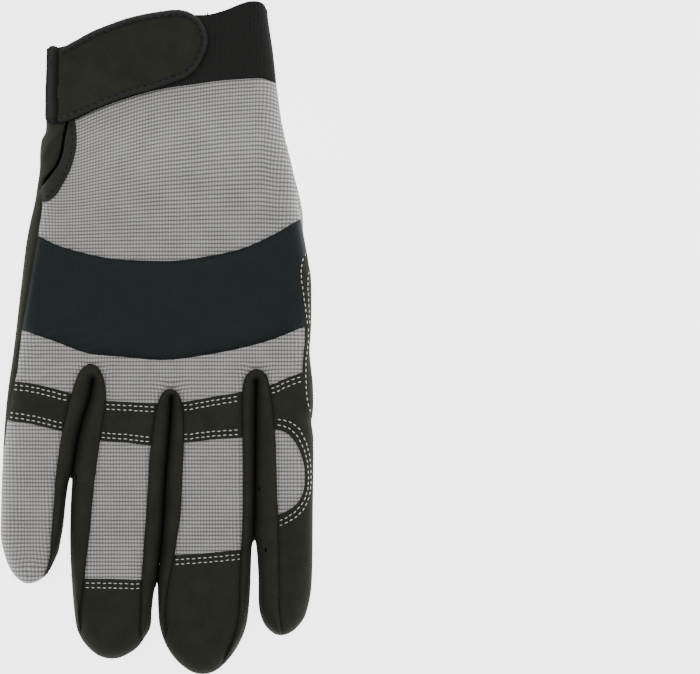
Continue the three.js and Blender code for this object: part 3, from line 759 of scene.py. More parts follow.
class Looks:
    """Builds one material's nodes."""

    def __init__(self, name: str, roughness: float, gloss: float = 0.12) -> None:
        """Starts a material with its shader and output.

        Args:
            name: The material's name.
            roughness: How dull it is.
            gloss: How strongly it shines.
        """
        self.material = bpy.data.materials.new(name)
        self.material.use_nodes = True
        self.tree = self.material.node_tree
        self.tree.nodes.clear()
        sockets = {"Roughness": roughness, "Specular IOR Level": gloss}
        self.shader = self.node("ShaderNodeBsdfPrincipled", {}, sockets)
        self.node("ShaderNodeOutputMaterial", {}, {"Surface": self.shader.outputs["BSDF"]})

    def node(self, kind: str, settings: dict, sockets: dict) -> bpy.types.Node:
        """Adds a node.

        Args:
            kind: The node's type.
            settings: Its own settings, which are set first.
            sockets: Values or links of its input sockets, by name or number.

        Returns:
            The node.
        """
        node = self.tree.nodes.new(kind)
        for key, value in settings.items():
            setattr(node, key, value)
        for key, value in sockets.items():
            source = value.socket if isinstance(value, Wire) else value
            if isinstance(source, bpy.types.NodeSocket):
                self.tree.links.new(source, node.inputs[key])
            else:
                node.inputs[key].default_value = source
        return node

    def wire(self, kind: str, settings: dict, sockets: dict, output: int | str = 0) -> Wire:
        """Adds a node and returns one of its outputs."""
        return Wire(self, self.node(kind, settings, sockets).outputs[output])

    def math(self, operation: str, *values: object) -> Wire:
        """A Math node."""
        return self.wire("ShaderNodeMath", {"operation": operation}, dict(enumerate(values)))

    def flat(self) -> tuple[Wire, Wire, Wire]:
        """The place on the flat cloth in millimetres: as a vector, across and along.

        Returns:
            The vector and its two parts.
        """
        place = self.wire("ShaderNodeUVMap", {"uv_map": "weave"}, {})
        vector = self.wire("ShaderNodeVectorMath", {"operation": "SCALE"}, {0: place, "Scale": 1 / MM})
        parts = self.node("ShaderNodeSeparateXYZ", {}, {0: vector}).outputs
        return vector, Wire(self, parts[0]), Wire(self, parts[1])

    def solid(self) -> Wire:
        """The place in space in millimetres."""
        place = self.wire("ShaderNodeTexCoord", {}, {}, "Object")
        return self.wire("ShaderNodeVectorMath", {"operation": "SCALE"}, {0: place, "Scale": 1 / MM})

    def noise(self, vector: Wire, pitch: float, detail: float = 2.0, roughness: float = 0.5) -> Wire:
        """Noise from 0 to 1 whose grains are about pitch millimetres apart."""
        sockets = {"Vector": vector, "Scale": 1 / pitch, "Detail": detail, "Roughness": roughness}
        return self.wire("ShaderNodeTexNoise", {}, sockets)

    def blend(self, share: Wire, first: Color, second: Color) -> Wire:
        """A colour between two."""
        sockets = {0: share, 6: (*first, 1.0), 7: (*second, 1.0)}
        return self.wire("ShaderNodeMix", {"data_type": "RGBA"}, sockets, 2)

    def finish(self, color: object, bump: Optional[Wire] = None, depth: float = 0.1,
               strength: float = 1.0) -> bpy.types.Material:
        """Joins colour and bump to the shader.

        Args:
            color: A colour or a link.
            bump: Height from 0 to 1, if any.
            depth: What a height of 1 is, in millimetres.
            strength: The bump's strength.

        Returns:
            The material.
        """
        inputs = {"Base Color": color}
        if bump is not None:
            sockets = {"Height": bump, "Distance": depth * MM, "Strength": strength}
            inputs["Normal"] = self.wire("ShaderNodeBump", {}, sockets)
        for key, value in inputs.items():
            if isinstance(value, Wire):
                self.tree.links.new(value.socket, self.shader.inputs[key])
            else:
                self.shader.inputs[key].default_value = value
        return self.material


@dataclass(frozen=True)
class Fabric:
    """A cloth whose colour lies between two tones; sizes in millimetres."""

    name: str
    dark: Color
    light: Color
    roughness: float
    bump_depth: float
    bump_strength: float

    def pattern(self, looks: Looks) -> tuple[Wire, Wire]:
        """The light tone's share and the surface's height, each from 0 to 1."""
        raise NotImplementedError

    def material(self) -> bpy.types.Material:
        """The cloth's material.

        Returns:
            The material, its colour and its bump led by the pattern.
        """
        looks = Looks(self.name, self.roughness)
        share, height = self.pattern(looks)
        color = looks.blend(share, self.dark, self.light)
        return looks.finish(color, height, self.bump_depth, self.bump_strength)


@dataclass(frozen=True)
class Knit(Fabric):
    """Grey knit: rows of small bright loops with dark grooves between."""

    name: str = "knit"
    dark: Color = (0.124, 0.121, 0.117)
    light: Color = (0.560, 0.550, 0.536)
    roughness: float = 0.9
    bump_depth: float = 0.3
    bump_strength: float = 0.5
    loop_pitch: float = 1.04
    row_pitch: float = 1.36
    loop_share: float = 0.72  # how much darker a row is between its loops

    def pattern(self, looks: Looks) -> tuple[Wire, Wire]:
        """Loops in rows, with soft patches.

        Args:
            looks: The material being built.

        Returns:
            The share and the height.
        """
        vector, across, along = looks.flat()
        stray = looks.noise(vector, 3.0) * 0.35
        row = (along / self.row_pitch + stray * 0.4).wave()
        loop = (across / self.loop_pitch + stray).wave()
        height = row ** 0.78 * (loop * self.loop_share + (1 - self.loop_share))
        patchy = looks.noise(vector, 9.0, 3.0) * 0.26 + looks.noise(vector, 0.5) * 0.34
        return (height * 1.16 + patchy - 0.24).limited(), height


@dataclass(frozen=True)
class Suede(Fabric):
    """Black synthetic suede: short nap with soft cloudy shading."""

    name: str = "suede"
    dark: Color = (0.0130, 0.0132, 0.0100)
    light: Color = (0.0400, 0.0402, 0.0320)
    roughness: float = 0.95
    bump_depth: float = 0.12
    bump_strength: float = 0.5
    nap_pitch: float = 0.45
    cloud_pitch: float = 7.0

    def pattern(self, looks: Looks) -> tuple[Wire, Wire]:
        """The nap and its clouds.

        Args:
            looks: The material being built.

        Returns:
            The share and the height.
        """
        place = looks.solid()
        nap = looks.noise(place, self.nap_pitch, 3.0, 0.6)
        cloud = looks.noise(place, self.cloud_pitch, 3.0)
        return (nap * 0.75 + cloud * 0.55 - 0.15).limited(), nap


@dataclass(frozen=True)
class Neoprene(Fabric):
    """Smooth blue-black padded band with a faint jersey face."""

    name: str = "neoprene"
    dark: Color = (0.0100, 0.0140, 0.0150)
    light: Color = (0.0225, 0.0270, 0.0285)
    roughness: float = 0.7
    bump_depth: float = 0.05
    bump_strength: float = 0.3
    rib_pitch: float = 0.42

    def pattern(self, looks: Looks) -> tuple[Wire, Wire]:
        """Slanting ribs in the bump, grain and clouds in the colour.

        Args:
            looks: The material being built.

        Returns:
            The share and the height.
        """
        vector, across, along = looks.flat()
        rib = ((across * 0.9 + along * 0.3) / self.rib_pitch).wave()
        cloud = looks.noise(vector, 6.0, 3.0) * 0.4
        return (cloud + looks.noise(vector, 0.5, 3.0) * 1.4 - 0.5).limited(), rib


@dataclass(frozen=True)
class Elastic(Fabric):
    """Black elastic with faint ribs that run along the hand."""

    name: str = "elastic"
    dark: Color = (0.0100, 0.0103, 0.0096)
    light: Color = (0.0235, 0.0240, 0.0228)
    roughness: float = 0.9
    bump_depth: float = 0.14
    bump_strength: float = 0.5
    rib_pitch: float = 1.1
    weft_pitch: float = 0.8

    def pattern(self, looks: Looks) -> tuple[Wire, Wire]:
        """Faint ribs and weft under an uneven grain.

        Args:
            looks: The material being built.

        Returns:
            The share and the height.
        """
        vector, across, along = looks.flat()
        stray = looks.noise(vector, 4.0) * 0.5
        rib = (across / self.rib_pitch + stray).wave()
        weft = (along / self.weft_pitch).wave()
        height = rib * 0.14 + weft * 0.12 + looks.noise(vector, 0.55, 3.0) * 0.8
        return (height * 1.7 - 0.4).limited(), height


@dataclass(frozen=True)
class Tape(Fabric):
    """Smooth woven binding tape."""

    name: str = "binding_tape_cloth"
    dark: Color = (0.0180, 0.0185, 0.0175)
    light: Color = (0.0330, 0.0338, 0.0318)
    roughness: float = 0.8
    bump_depth: float = 0.05
    bump_strength: float = 0.4
    grain_pitch: float = 0.35

    def pattern(self, looks: Looks) -> tuple[Wire, Wire]:
        """A fine grain.

        Args:
            looks: The material being built.

        Returns:
            The share and the height.
        """
        grain = looks.noise(looks.solid(), self.grain_pitch, 2.0)
        return grain, grain


@dataclass(frozen=True)
class Thread:
    """Twisted sewing thread."""

    name: str
    color: Color
    roughness: float = 0.55
    twist_pitch: float = 0.3
    shade: float = 0.72  # how bright the thread is between its twists

    def material(self) -> bpy.types.Material:
        """The thread's material, a little darker between its twists.

        Returns:
            The material.
        """
        looks = Looks(self.name, self.roughness)
        twist = looks.noise(looks.solid(), self.twist_pitch, 1.0)
        shade = tuple(self.shade * part for part in self.color)
        return looks.finish(looks.blend(twist, shade, self.color), twist, 0.05, 0.5)


@dataclass(frozen=True)
class Backdrop:
    """The pale floor, which glows a little as a lit sweep of paper does."""

    name: str = "pale_floor"
    color: Color = (0.90, 0.90, 0.90)
    glow: float = 3.4
    roughness: float = 0.9

    def material(self) -> bpy.types.Material:
        """The floor's material.

        Returns:
            The material.
        """
        looks = Looks(self.name, self.roughness)
        looks.shader.inputs["Emission Color"].default_value = (1, 1, 1, 1)
        looks.shader.inputs["Emission Strength"].default_value = self.glow
        return looks.finish((*self.color, 1.0))


class Wardrobe:
    """The finishes, each made once."""

    def __init__(self) -> None:
        """Makes them in order."""
        self.knit = Finish(Knit().material(), Slot.KNIT)
        self.suede = Finish(Suede().material(), Slot.SUEDE)
        self.neoprene = Finish(Neoprene().material(), Slot.NEOPRENE)
        self.elastic = Finish(Elastic().material(), Slot.ELASTIC)
        self.tape = Finish(Tape().material(), Slot.TAPE)
        self.white = Finish(Thread("white_thread", (0.80, 0.80, 0.78)).material(), Slot.SUEDE)
        self.black = Finish(Thread("black_thread", (0.008, 0.008, 0.008)).material(), Slot.TAPE)
        # near-black beads of painted shade that stand for the dark insides of the vent holes
        self.hole_shade = Finish(Thread("vent_painted_shade", (0.001, 0.001, 0.001), 1.0).material(), Slot.SUEDE)


# The plan: outlines and seams of the back, in pixels of the photograph

LEFT_EDGE = [(46, -70), (46, -10), (46, 46), (45, 100), (45.5, 132), (42, 139), (40.2, 152), (40, 169),
             (37.7, 186), (35, 203), (31, 220), (27, 240), (21, 288), (14, 348), (8, 390), (5, 420),
             (2, 470), (0.3, 520), (0.5, 540), (3, 552), (7, 564), (14, 576), (22, 582.5), (28, 584),
             (35, 582.5), (44, 577), (50, 569), (54.5, 560), (58, 552), (60.5, 540), (63, 526),
             (66.3, 497), (69.7, 479), (72.3, 474), (74.1, 464), (78.5, 439.5), (83.5, 419.6), (88, 406),
             (91.7, 393), (93.6, 380)]
RING_EDGE = [(93.6, 380), (91.74, 393), (88.04, 406), (83.54, 419.6), (78.54, 439.5), (74.14, 464),
             (72.4, 474), (72, 482), (71, 495), (70.4, 506), (69.6, 539), (70.2, 564), (71.8, 590),
             (73.6, 611), (76.2, 628), (80, 637.5), (86, 646), (96, 655), (104, 658.4), (112, 659.4),
             (119, 658.4), (127, 655), (137, 648), (144.4, 638), (150, 628), (151.6, 610), (153.8, 592),
             (157.4, 578), (160.4, 553), (163.4, 521), (166, 478), (169.2, 442), (171.5, 414.6),
             (172.2, 397)]
MIDDLE_EDGE = [(172.2, 397), (171.54, 414.6), (169.24, 442), (166.04, 478), (163.44, 521), (160.44, 553),
               (157.44, 578), (157.4, 594), (157.8, 610), (159.2, 626), (165.4, 645), (175.4, 660),
               (185.6, 669), (194, 673.4), (202, 674.8), (210, 673.6), (217, 670.4), (229.4, 658.6),
               (239.4, 643.4), (246, 626.4), (249.4, 601.5), (250.7, 574), (252, 546), (254.2, 536),
               (255, 505), (255.5, 468), (256.3, 414), (256.8, 381)]
INDEX_EDGE = [(256.8, 381), (256.34, 414), (255.54, 468), (255.04, 505), (254.24, 536), (256, 546),
              (258, 574), (258.8, 608), (261.2, 618), (264.6, 625.4), (269.6, 631), (275, 634.8),
              (280.4, 636), (286.4, 635), (292.6, 631.8), (299, 625.8), (304.4, 618), (309.2, 602),
              (311.6, 585), (313, 510), (313.4, 436), (312.4, 428), (311.6, 421), (312.6, 415),
              (313.4, 408), (313.2, 385), (311.4, 368), (310, 352), (311.5, 322), (311, 275),
              (309.3, 266), (307.4, 254), (302, 225), (299.4, 210), (296, 186), (292, 165), (287, 146),
              (282.6, 126), (280.8, 116), (278.6, 100), (276.4, 83), (273, 52), (267.6, 14), (262, -70)]
MOUTH = [(0, 66), (46, 48), (60, 47), (88, 38), (117, 28), (147, 21), (176, 17), (194, 15), (208, 14.5),
         (225, 10), (240, 4), (250, 1.2), (259, 1.4), (264, 4), (267.5, 10), (300, 30)]
CUFF_SEAM = [(0, 128), (45, 121), (60, 123), (75.7, 120), (92.6, 112), (109.5, 104.8), (126.4, 99),
             (143, 93.6), (160, 89.5), (172, 87.5), (194, 84.5), (211, 82), (228, 80.2), (245, 79),
             (262, 78.6), (276.4, 82.8), (320, 90)]
LEFT_SEAM = [(60, 90), (67, 121), (64, 139), (62, 151), (58, 163), (51.5, 172.4), (45.5, 180),
             (42.5, 187), (42.6, 196), (43.5, 202), (39, 236), (32, 278), (23, 330), (17, 377),
             (15, 383), (8, 420), (3, 455), (-12, 500)]
BAND_TOP = [(10, 226), (39, 236), (55, 244), (84, 253), (114, 259), (147, 261), (177, 261), (206, 257),
            (242, 249), (274, 235), (298, 221), (330, 204)]
BAND_BOTTOM = [(0, 320), (23, 330), (55, 341), (88, 353), (126, 357), (164, 360), (200, 356), (242, 348),
               (274, 339), (306, 326), (330, 316)]
STRIP_TOP = [(-10, 379), (17, 381.5), (33, 383.4), (50, 387.3), (66, 391.4), (78, 395), (108, 400.5),
             (129, 401.7), (156, 403), (183, 401.8), (214, 396.5), (242, 391.8), (271, 385),
             (286, 378.3), (303, 372.4), (330, 366)]
STRIP_BOTTOM = [(-10, 418), (10, 420.4), (33, 423.8), (50, 427.9), (63, 431), (103, 440.3), (126, 442),
                (150, 444.5), (185, 442.3), (214, 439), (242, 437), (275, 431), (330, 425)]
WINDOW = [(274, 428.6), (281, 430), (288.5, 433.7), (297, 444.4), (303.4, 459.3), (305.9, 476.3),
          (303.4, 493.4), (297, 504), (286.3, 511.5), (274, 516)]
WINDOW_ROWS = [
    [(274, 424), (285, 426), (294, 431.5), (302, 444), (306.5, 457), (308.2, 472), (307.8, 488),
     (303.5, 501), (296, 510.5), (288, 516.5), (276, 522)],
    [(274, 418.6), (287, 420.5), (297, 426), (304, 437), (309, 452), (310.8, 470), (310.5, 488),
     (306.5, 503.5), (299, 514), (290, 520.5), (276, 527)],
]
RING_CAP = [(60, 578), (84, 578.4), (110, 578.8), (142, 579.6), (160, 580)]
MIDDLE_CAP = [(160, 556.5), (175.5, 555.2), (208, 553), (241, 549.8), (260, 548)]
SIDEWALLS = {
    "pinky_ring": [(38, 586), (42.3, 578), (48, 565.5), (50.6, 549), (51.6, 531), (54, 506), (55.8, 481),
                   (59, 456), (63, 431), (68, 409), (72, 395), (77.5, 378), (83, 368.5), (91, 363.6),
                   (99, 366.8), (104.5, 377), (107, 390), (107, 402), (105.4, 413), (101.2, 439.5),
                   (97.6, 464.4), (93.7, 494), (90.2, 531), (87, 556), (84.9, 577), (83, 592),
                   (79.8, 613), (80.4, 627), (79.6, 637), (77, 650), (60, 655)],
    "ring_middle": [(146, 668), (142, 648), (140, 632), (140.2, 612), (141.6, 578), (143.5, 549),
                    (147, 505), (150.5, 453), (154.3, 425), (156.6, 410), (160.5, 398), (165, 391),
                    (171, 388.4), (177, 391), (181.6, 398), (184, 410), (184.6, 442), (182.3, 489),
                    (180.9, 514.7), (176.6, 542.4), (174.6, 556), (170.4, 576.5), (167, 596),
                    (165.6, 612), (166, 630), (164.5, 645), (160, 660), (150, 690)],
    "middle_index": [(222, 690), (220.5, 676), (223.5, 662), (229.5, 648), (234.5, 634), (238, 618),
                     (239.8, 574), (241, 549.8), (242, 531.7), (242.9, 500), (243.3, 468), (242.8, 436),
                     (242.4, 405), (243, 388), (246.5, 375.5), (256.5, 368.6), (266, 373.4),
                     (270.4, 387), (273.4, 410), (275.6, 436), (276.8, 468), (277.6, 500), (279, 532),
                     (279.6, 574), (279.8, 606), (282, 632), (284, 645), (256, 660)],
}
CREASES = {
    "pinky_ring": [(93.6, 380), (91.7, 393), (83.5, 419.6), (78.5, 439.5), (74, 464), (71.5, 480),
                   (70, 504), (69, 560), (69, 600), (60, 650)],
    "ring_middle": [(172.2, 397), (171.5, 414.6), (169.2, 442), (166, 478), (163.4, 521), (160.5, 553),
                    (157.4, 578), (154.5, 600), (153, 640), (150, 680)],
    "middle_index": [(256.8, 381), (256.3, 414), (255.5, 468), (255, 505), (254.2, 536), (254, 560),
                     (254, 600), (257, 650)],
}
RADIAL_TOP = [(330, 248), (312, 250), (306.5, 254), (303, 259), (300, 268), (299.6, 281), (301.5, 295),
              (303.3, 306.6), (305.6, 322), (306, 338), (304, 358), (303.4, 374), (305, 404), (310, 414),
              (314, 417), (330, 420)]
RADIAL_ROWS = [
    [(305.5, 255), (302.5, 262), (301.4, 275), (303, 290), (305.3, 306), (307.4, 322)],
    [(309.6, 268), (308, 280), (308.6, 300), (309.6, 322)],
    [(308.5, 330), (308, 345), (306.2, 360), (306, 376), (307.2, 398), (310, 410)],
]
SLIT = [(67, 120), (64.6, 130), (63, 138.7), (61, 151.4), (57.2, 162.9), (50.6, 172.4), (44.6, 180),
        (42.3, 187), (47.6, 181.6), (54.5, 173), (60.6, 163.4), (64.4, 151.6), (66, 139), (69.6, 122)]
SLIT_TAPE = [(68, 118), (65.4, 130), (64.4, 139), (62.6, 151), (59, 163), (52.6, 173), (46, 181),
             (42.4, 187), (39, 194), (43.8, 202.4), (54.6, 198.3), (65.5, 182), (71.8, 169.2),
             (75.7, 155.9), (77.6, 141.8), (76.6, 128), (75, 118)]
SLIT_ROW = [(72.2, 126), (73.2, 136), (73.1, 145.7), (71.2, 157.8), (65.5, 173.7), (58.5, 186.4),
            (48.3, 196.6)]
FLAP_RIDGE = [(67, 122), (63, 128), (57, 135.6), (51, 141.4), (46.4, 149.5), (42.6, 158)]
STRAP_RIM = [(59, 49), (62.2, 47.8), (75.7, 40.5), (92.6, 31.3), (109.5, 24.5), (126.4, 18.6),
             (143.2, 14.4), (160, 11.5), (175.3, 9.8), (185.5, 11), (194, 14.8), (202, 22.5),
             (206.6, 32.5), (207.8, 40.5), (206.6, 48), (202.4, 59), (195.6, 70), (187.2, 77),
             (177, 81.3), (160, 87.4), (143.2, 92.4), (126.4, 97.4), (109.5, 103.6), (92.6, 110.8),
             (75.7, 118.4), (63, 122.6), (59, 122.8)]
FOLD = [(47, 50), (49, 46.6), (53, 45.6), (57.6, 47), (60, 51), (60.3, 85), (60, 118), (56, 123.4),
        (50, 123.6), (46.4, 121), (45.4, 100), (45.8, 75)]
VENTS = [(77, 476), (259.5, 488), (266, 549)]

# The palm, in pixels of its own view

WRAP = [(528, -60), (528, 60), (527, 100), (533, 125), (543, 145), (570, 158), (597, 166), (631, 197),
        (650, 216), (736, 216), (736, -60)]
PAD = [(533, 204), (520, 191), (502, 178), (482, 171), (462, 171.5), (438, 179), (415, 195), (398, 213),
       (386, 236), (379.5, 262), (376, 298), (378, 325), (380, 345), (377, 372), (375.5, 396),
       (380, 418), (391, 427), (402, 421), (411, 403), (420, 391), (431, 385), (443, 391), (452, 403),
       (462, 425), (480, 438), (498, 425), (510, 398), (520, 396), (532, 420), (547, 433), (557, 422),
       (567, 402), (578, 391), (590, 390), (601, 398), (614, 413), (627, 420), (640, 413), (647, 394),
       (649, 365), (646, 345), (634, 342), (613, 350), (588, 357), (551, 362), (505, 363), (458, 359),
       (436, 355), (425, 346), (417, 316), (420, 290), (427, 265), (444, 242), (463, 228), (482, 223),
       (501, 228), (516, 243), (530, 232)]
TONGUE = [(551, 290), (511, 290), (483, 293), (469, 300), (459, 309), (459, 321), (469, 328), (505, 332),
          (551, 332)]
SPIKE = [(448, 228), (453, 205), (455, 184), (459, 180), (463, 184), (472, 203), (486, 219), (505, 234),
         (513, 242)]
RADIAL_UNDER = [(700, 250), (657, 251), (640, 255), (629, 263), (626, 281), (625, 297), (640, 303),
                (654, 292), (656, 300), (638, 326), (657, 336), (665, 352), (667, 375), (664, 400),
                (680, 405), (700, 406)]
UNDER_SEAMS = [
    [(424, 420), (421, 462), (415, 509), (410, 552), (405, 568)],
    [(500, 443), (502, 476), (500, 542), (495, 608), (481, 637), (464, 645)],
    [(588, 431), (591, 462), (597, 507), (600, 566), (598, 613), (592, 637), (575, 658)],
]
UNDER_VENTS = [(518, 561), (505, 613), (610, 613), (618, 559), (523, 511)]
THUMB = [(165, 99), (269, 90), (279, 144), (285, 146), (292, 168), (298, 190), (303, 219), (298, 264),
         (275, 290), (245, 304), (223, 332), (204, 361), (187, 384), (173, 427), (160, 436), (145, 440),
         (130, 440), (108, 438), (100, 427), (93, 410), (91, 384), (93, 361), (105, 340), (114, 316),
         (131, 278), (146, 245), (164, 200), (174, 177), (181, 144), (173, 132), (169, 118)]
THUMB_SEAM = [(680, 255), (640, 258), (625, 260), (611, 262), (580, 283), (549, 309), (526, 335),
              (519, 344), (495, 377), (481, 401), (472, 417), (470, 431), (469, 460)]
THUMB_ROW = [(639, 309), (613, 318), (566, 337), (538, 356), (523, 372), (521, 396), (526, 424)]
HEART = [(536, 179), (556, 177), (582, 172), (599, 177), (610, 189), (611, 203), (601, 226), (582, 255),
         (561, 271), (538, 283), (523, 284), (516, 276), (518, 250), (512, 241)]


def drawn(rows: Pixels) -> Array:
    """A smooth plan line through pixels of the back."""
    return smooth(PHOTO.plan(rows))


def ring(points: Array) -> Line:
    """A closed line that is smooth all round."""
    return Line(smooth(points, closed=True), closed=True)


@dataclass(frozen=True)
class Dip:
    """How far cloth dips along a line; sizes in millimetres."""

    depth: float
    width: float

    def at(self, gap: Array) -> Array:
        """The dip at a distance from the line."""
        return self.depth * np.exp(-(gap / self.width) ** 2)


CAP_SPANS = {"ring_cap": (60, 150), "middle_cap": (165, 250)}  # from left to right on the photograph


@dataclass
class Plan:
    """The plan's lines, drawn once from the pixel tables, and their seams; sizes in millimetres."""

    seam: Dip = Dip(0.55, 0.75)
    beside_seam: Dip = Dip(0.12, 1.1)
    beside_gap: float = 2.2
    under_seam: Dip = Dip(0.5, 0.7)
    ridge: Dip = Dip(0.6, 1.3)
    ridge_reach: float = 5.0
    seam_reach: float = 4.0
    wall_roll: float = 2.2
    thumb_clearance: float = 3.0

    def __post_init__(self) -> None:
        """Draws the lines."""
        edges = [PHOTO.plan(edge) for edge in (LEFT_EDGE, RING_EDGE, MIDDLE_EDGE, INDEX_EDGE)]
        self.outline: Line = Line(strokes(*edges), closed=True)
        self.mouth: Relief = over(drawn(MOUTH))
        self.cuff_seam: Relief = over(drawn(CUFF_SEAM))
        self.left_seam: Relief = right_of(drawn(LEFT_SEAM))
        tables = {"band_top": BAND_TOP, "band_bottom": BAND_BOTTOM, "strip_top": STRIP_TOP,
                  "strip_bottom": STRIP_BOTTOM, "ring_cap": RING_CAP, "middle_cap": MIDDLE_CAP}
        self.across: dict[str, Array] = {name: drawn(rows) for name, rows in tables.items()}
        self.above: dict[str, Relief] = {name: over(line) for name, line in self.across.items()}
        self.sidewalls: dict[str, Line] = {
            name: Line(drawn(rows), closed=True) for name, rows in SIDEWALLS.items()}
        self.creases: dict[str, Relief] = {name: right_of(drawn(rows)) for name, rows in CREASES.items()}
        self.window, self.radial, self.slit, self.slit_tape = (
            Line(drawn(rows), closed=True) for rows in (WINDOW, RADIAL_TOP, SLIT, SLIT_TAPE))
        self.seams: list[Line] = [Line(drawn(rows)) for rows in (CUFF_SEAM, LEFT_SEAM)]
        self.seams += [Line(self.across[name]) for name in ("band_top", "band_bottom")]
        self.flap: Line = Line(drawn(FLAP_RIDGE))
        self.wrap, self.pad, self.tongue, self.radial_under = (
            ring(PHOTO.palm(rows)) for rows in (WRAP, PAD, TONGUE, RADIAL_UNDER))
        self.under_seams: list[Line] = [Line(smooth(PHOTO.palm(rows))) for rows in UNDER_SEAMS]
        self.thumb: Line = ring(PHOTO.plan(THUMB))

    def groove(self, x: Array, y: Array) -> Array:
        """How deep the sewn seams pull the cloth in.

        Args:
            x: Places across the hand.
            y: Places along the hand.

        Returns:
            The depths.
        """
        pull = np.zeros_like(x)
        for line in [*self.seams, *self.sidewalls.values()]:
            gap = line.away(x, y, self.seam_reach)
            pull = np.maximum(pull, self.seam.at(gap) - self.beside_seam.at(gap - self.beside_gap))
        return pull

    @staticmethod
    def sway(x: Array, y: Array) -> Array:
        """Slow unevenness of cloth that isn't stretched.

        Args:
            x: Places across the hand.
            y: Places along the hand.

        Returns:
            The heights.
        """
        first = np.sin(x * 0.11 + 1.3 * np.sin(y * 0.05)) * np.sin(y * 0.083 + 0.7)
        second = np.sin(x * 0.23 - y * 0.07 + 2.0) * np.sin(y * 0.19 + x * 0.05)
        # the part of the back where the photograph's knit is wrinkled
        (left, top), (right, bottom) = PHOTO.plan([(30, 325), (150, 392)])
        folded = ramp(right, left, x) * ramp(bottom, bottom + 6, y) * ramp(top + 3, top - 6, y)
        wrinkle = np.sin((y - 0.22 * x) * 1.45 + np.sin(x * 0.4)) * folded
        return 0.30 * first + 0.14 * second + 0.24 * wrinkle

    def relief(self, x: Array, y: Array) -> Array:
        """What all panels of the back share: the pull of seams and the cloth's unevenness."""
        return self.sway(x, y) - self.groove(x, y) + self.ridge.at(self.flap.away(x, y, self.ridge_reach))

    def under_relief(self, x: Array, y: Array) -> Array:
        """What all panels of the palm share.

        Args:
            x: Places across the hand.
            y: Places along the hand.

        Returns:
            The heights.
        """
        pull = np.zeros_like(x)
        for line in [*self.under_seams, self.pad, self.tongue, self.wrap]:
            pull = np.maximum(pull, self.under_seam.at(line.away(x, y, self.seam_reach)))
        return self.sway(x + 40, y) - pull

    def clear_of_thumb(self, x: Array, y: Array) -> Array:
        """Share from 0 under the thumb to 1 beside it."""
        return ramp(0, self.thumb_clearance, -self.thumb.inside(x, y))

    def weave(self, flat: Array) -> Array:
        """The knit's map: its rows follow the cuff's seam there and even out down the hand.

        Args:
            flat: Places on the flat cloth.

        Returns:
            The places that the knit's pattern is read at.
        """
        x, y = flat.T
        seam = y - self.cuff_seam(x, y)
        (_, high), (_, low), (_, middle) = PHOTO.plan([(0, 105), (0, 262), (0, 92)])
        return np.stack([x, y - (seam - middle) * ramp(low, high, y)], axis=1)

    def tube(self, name: str) -> Relief:
        """A sidewall's rolled bands: round between the seam and the crease.

        Args:
            name: The sidewall's name.

        Returns:
            The roll's height at each place.
        """
        seam = self.sidewalls[name]

        def height(x: Array, y: Array) -> Array:
            """The roll's height.

            Args:
                x: Places across the hand.
                y: Places along the hand.

            Returns:
                The heights.
            """
            from_seam = np.maximum(seam.inside(x, y), 0)
            from_edge = np.maximum(self.outline.inside(x, y), 0)
            share = from_seam / np.maximum(from_seam + from_edge, 1e-6)
            return self.wall_roll * (4 * share * (1 - share)) ** 0.7

        return height


def none(x: Array, y: Array) -> Array:
    """No lift at all."""
    return np.zeros_like(x)


def everywhere(x: Array, y: Array) -> Array:
    """Positive at every place."""
    return np.ones_like(x)


def overlay(height: float, line: Optional[Line] = None, soften: float = 0.7, least: float = 0.35) -> Relief:
    """A patch's own height, its edge rounded where its outline is given.

    Args:
        height: The patch's height.
        line: Its outline, if its edge is rounded.
        soften: How wide the rounding is.
        least: The share of the rounding at the outline.

    Returns:
        The patch's height at each place.
    """
    if line is None:
        return lambda x, y: np.full_like(x, height)
    return lambda x, y: height * np.clip(least + line.inside(x, y) / soften, least, 1) ** 0.5


# Stitches

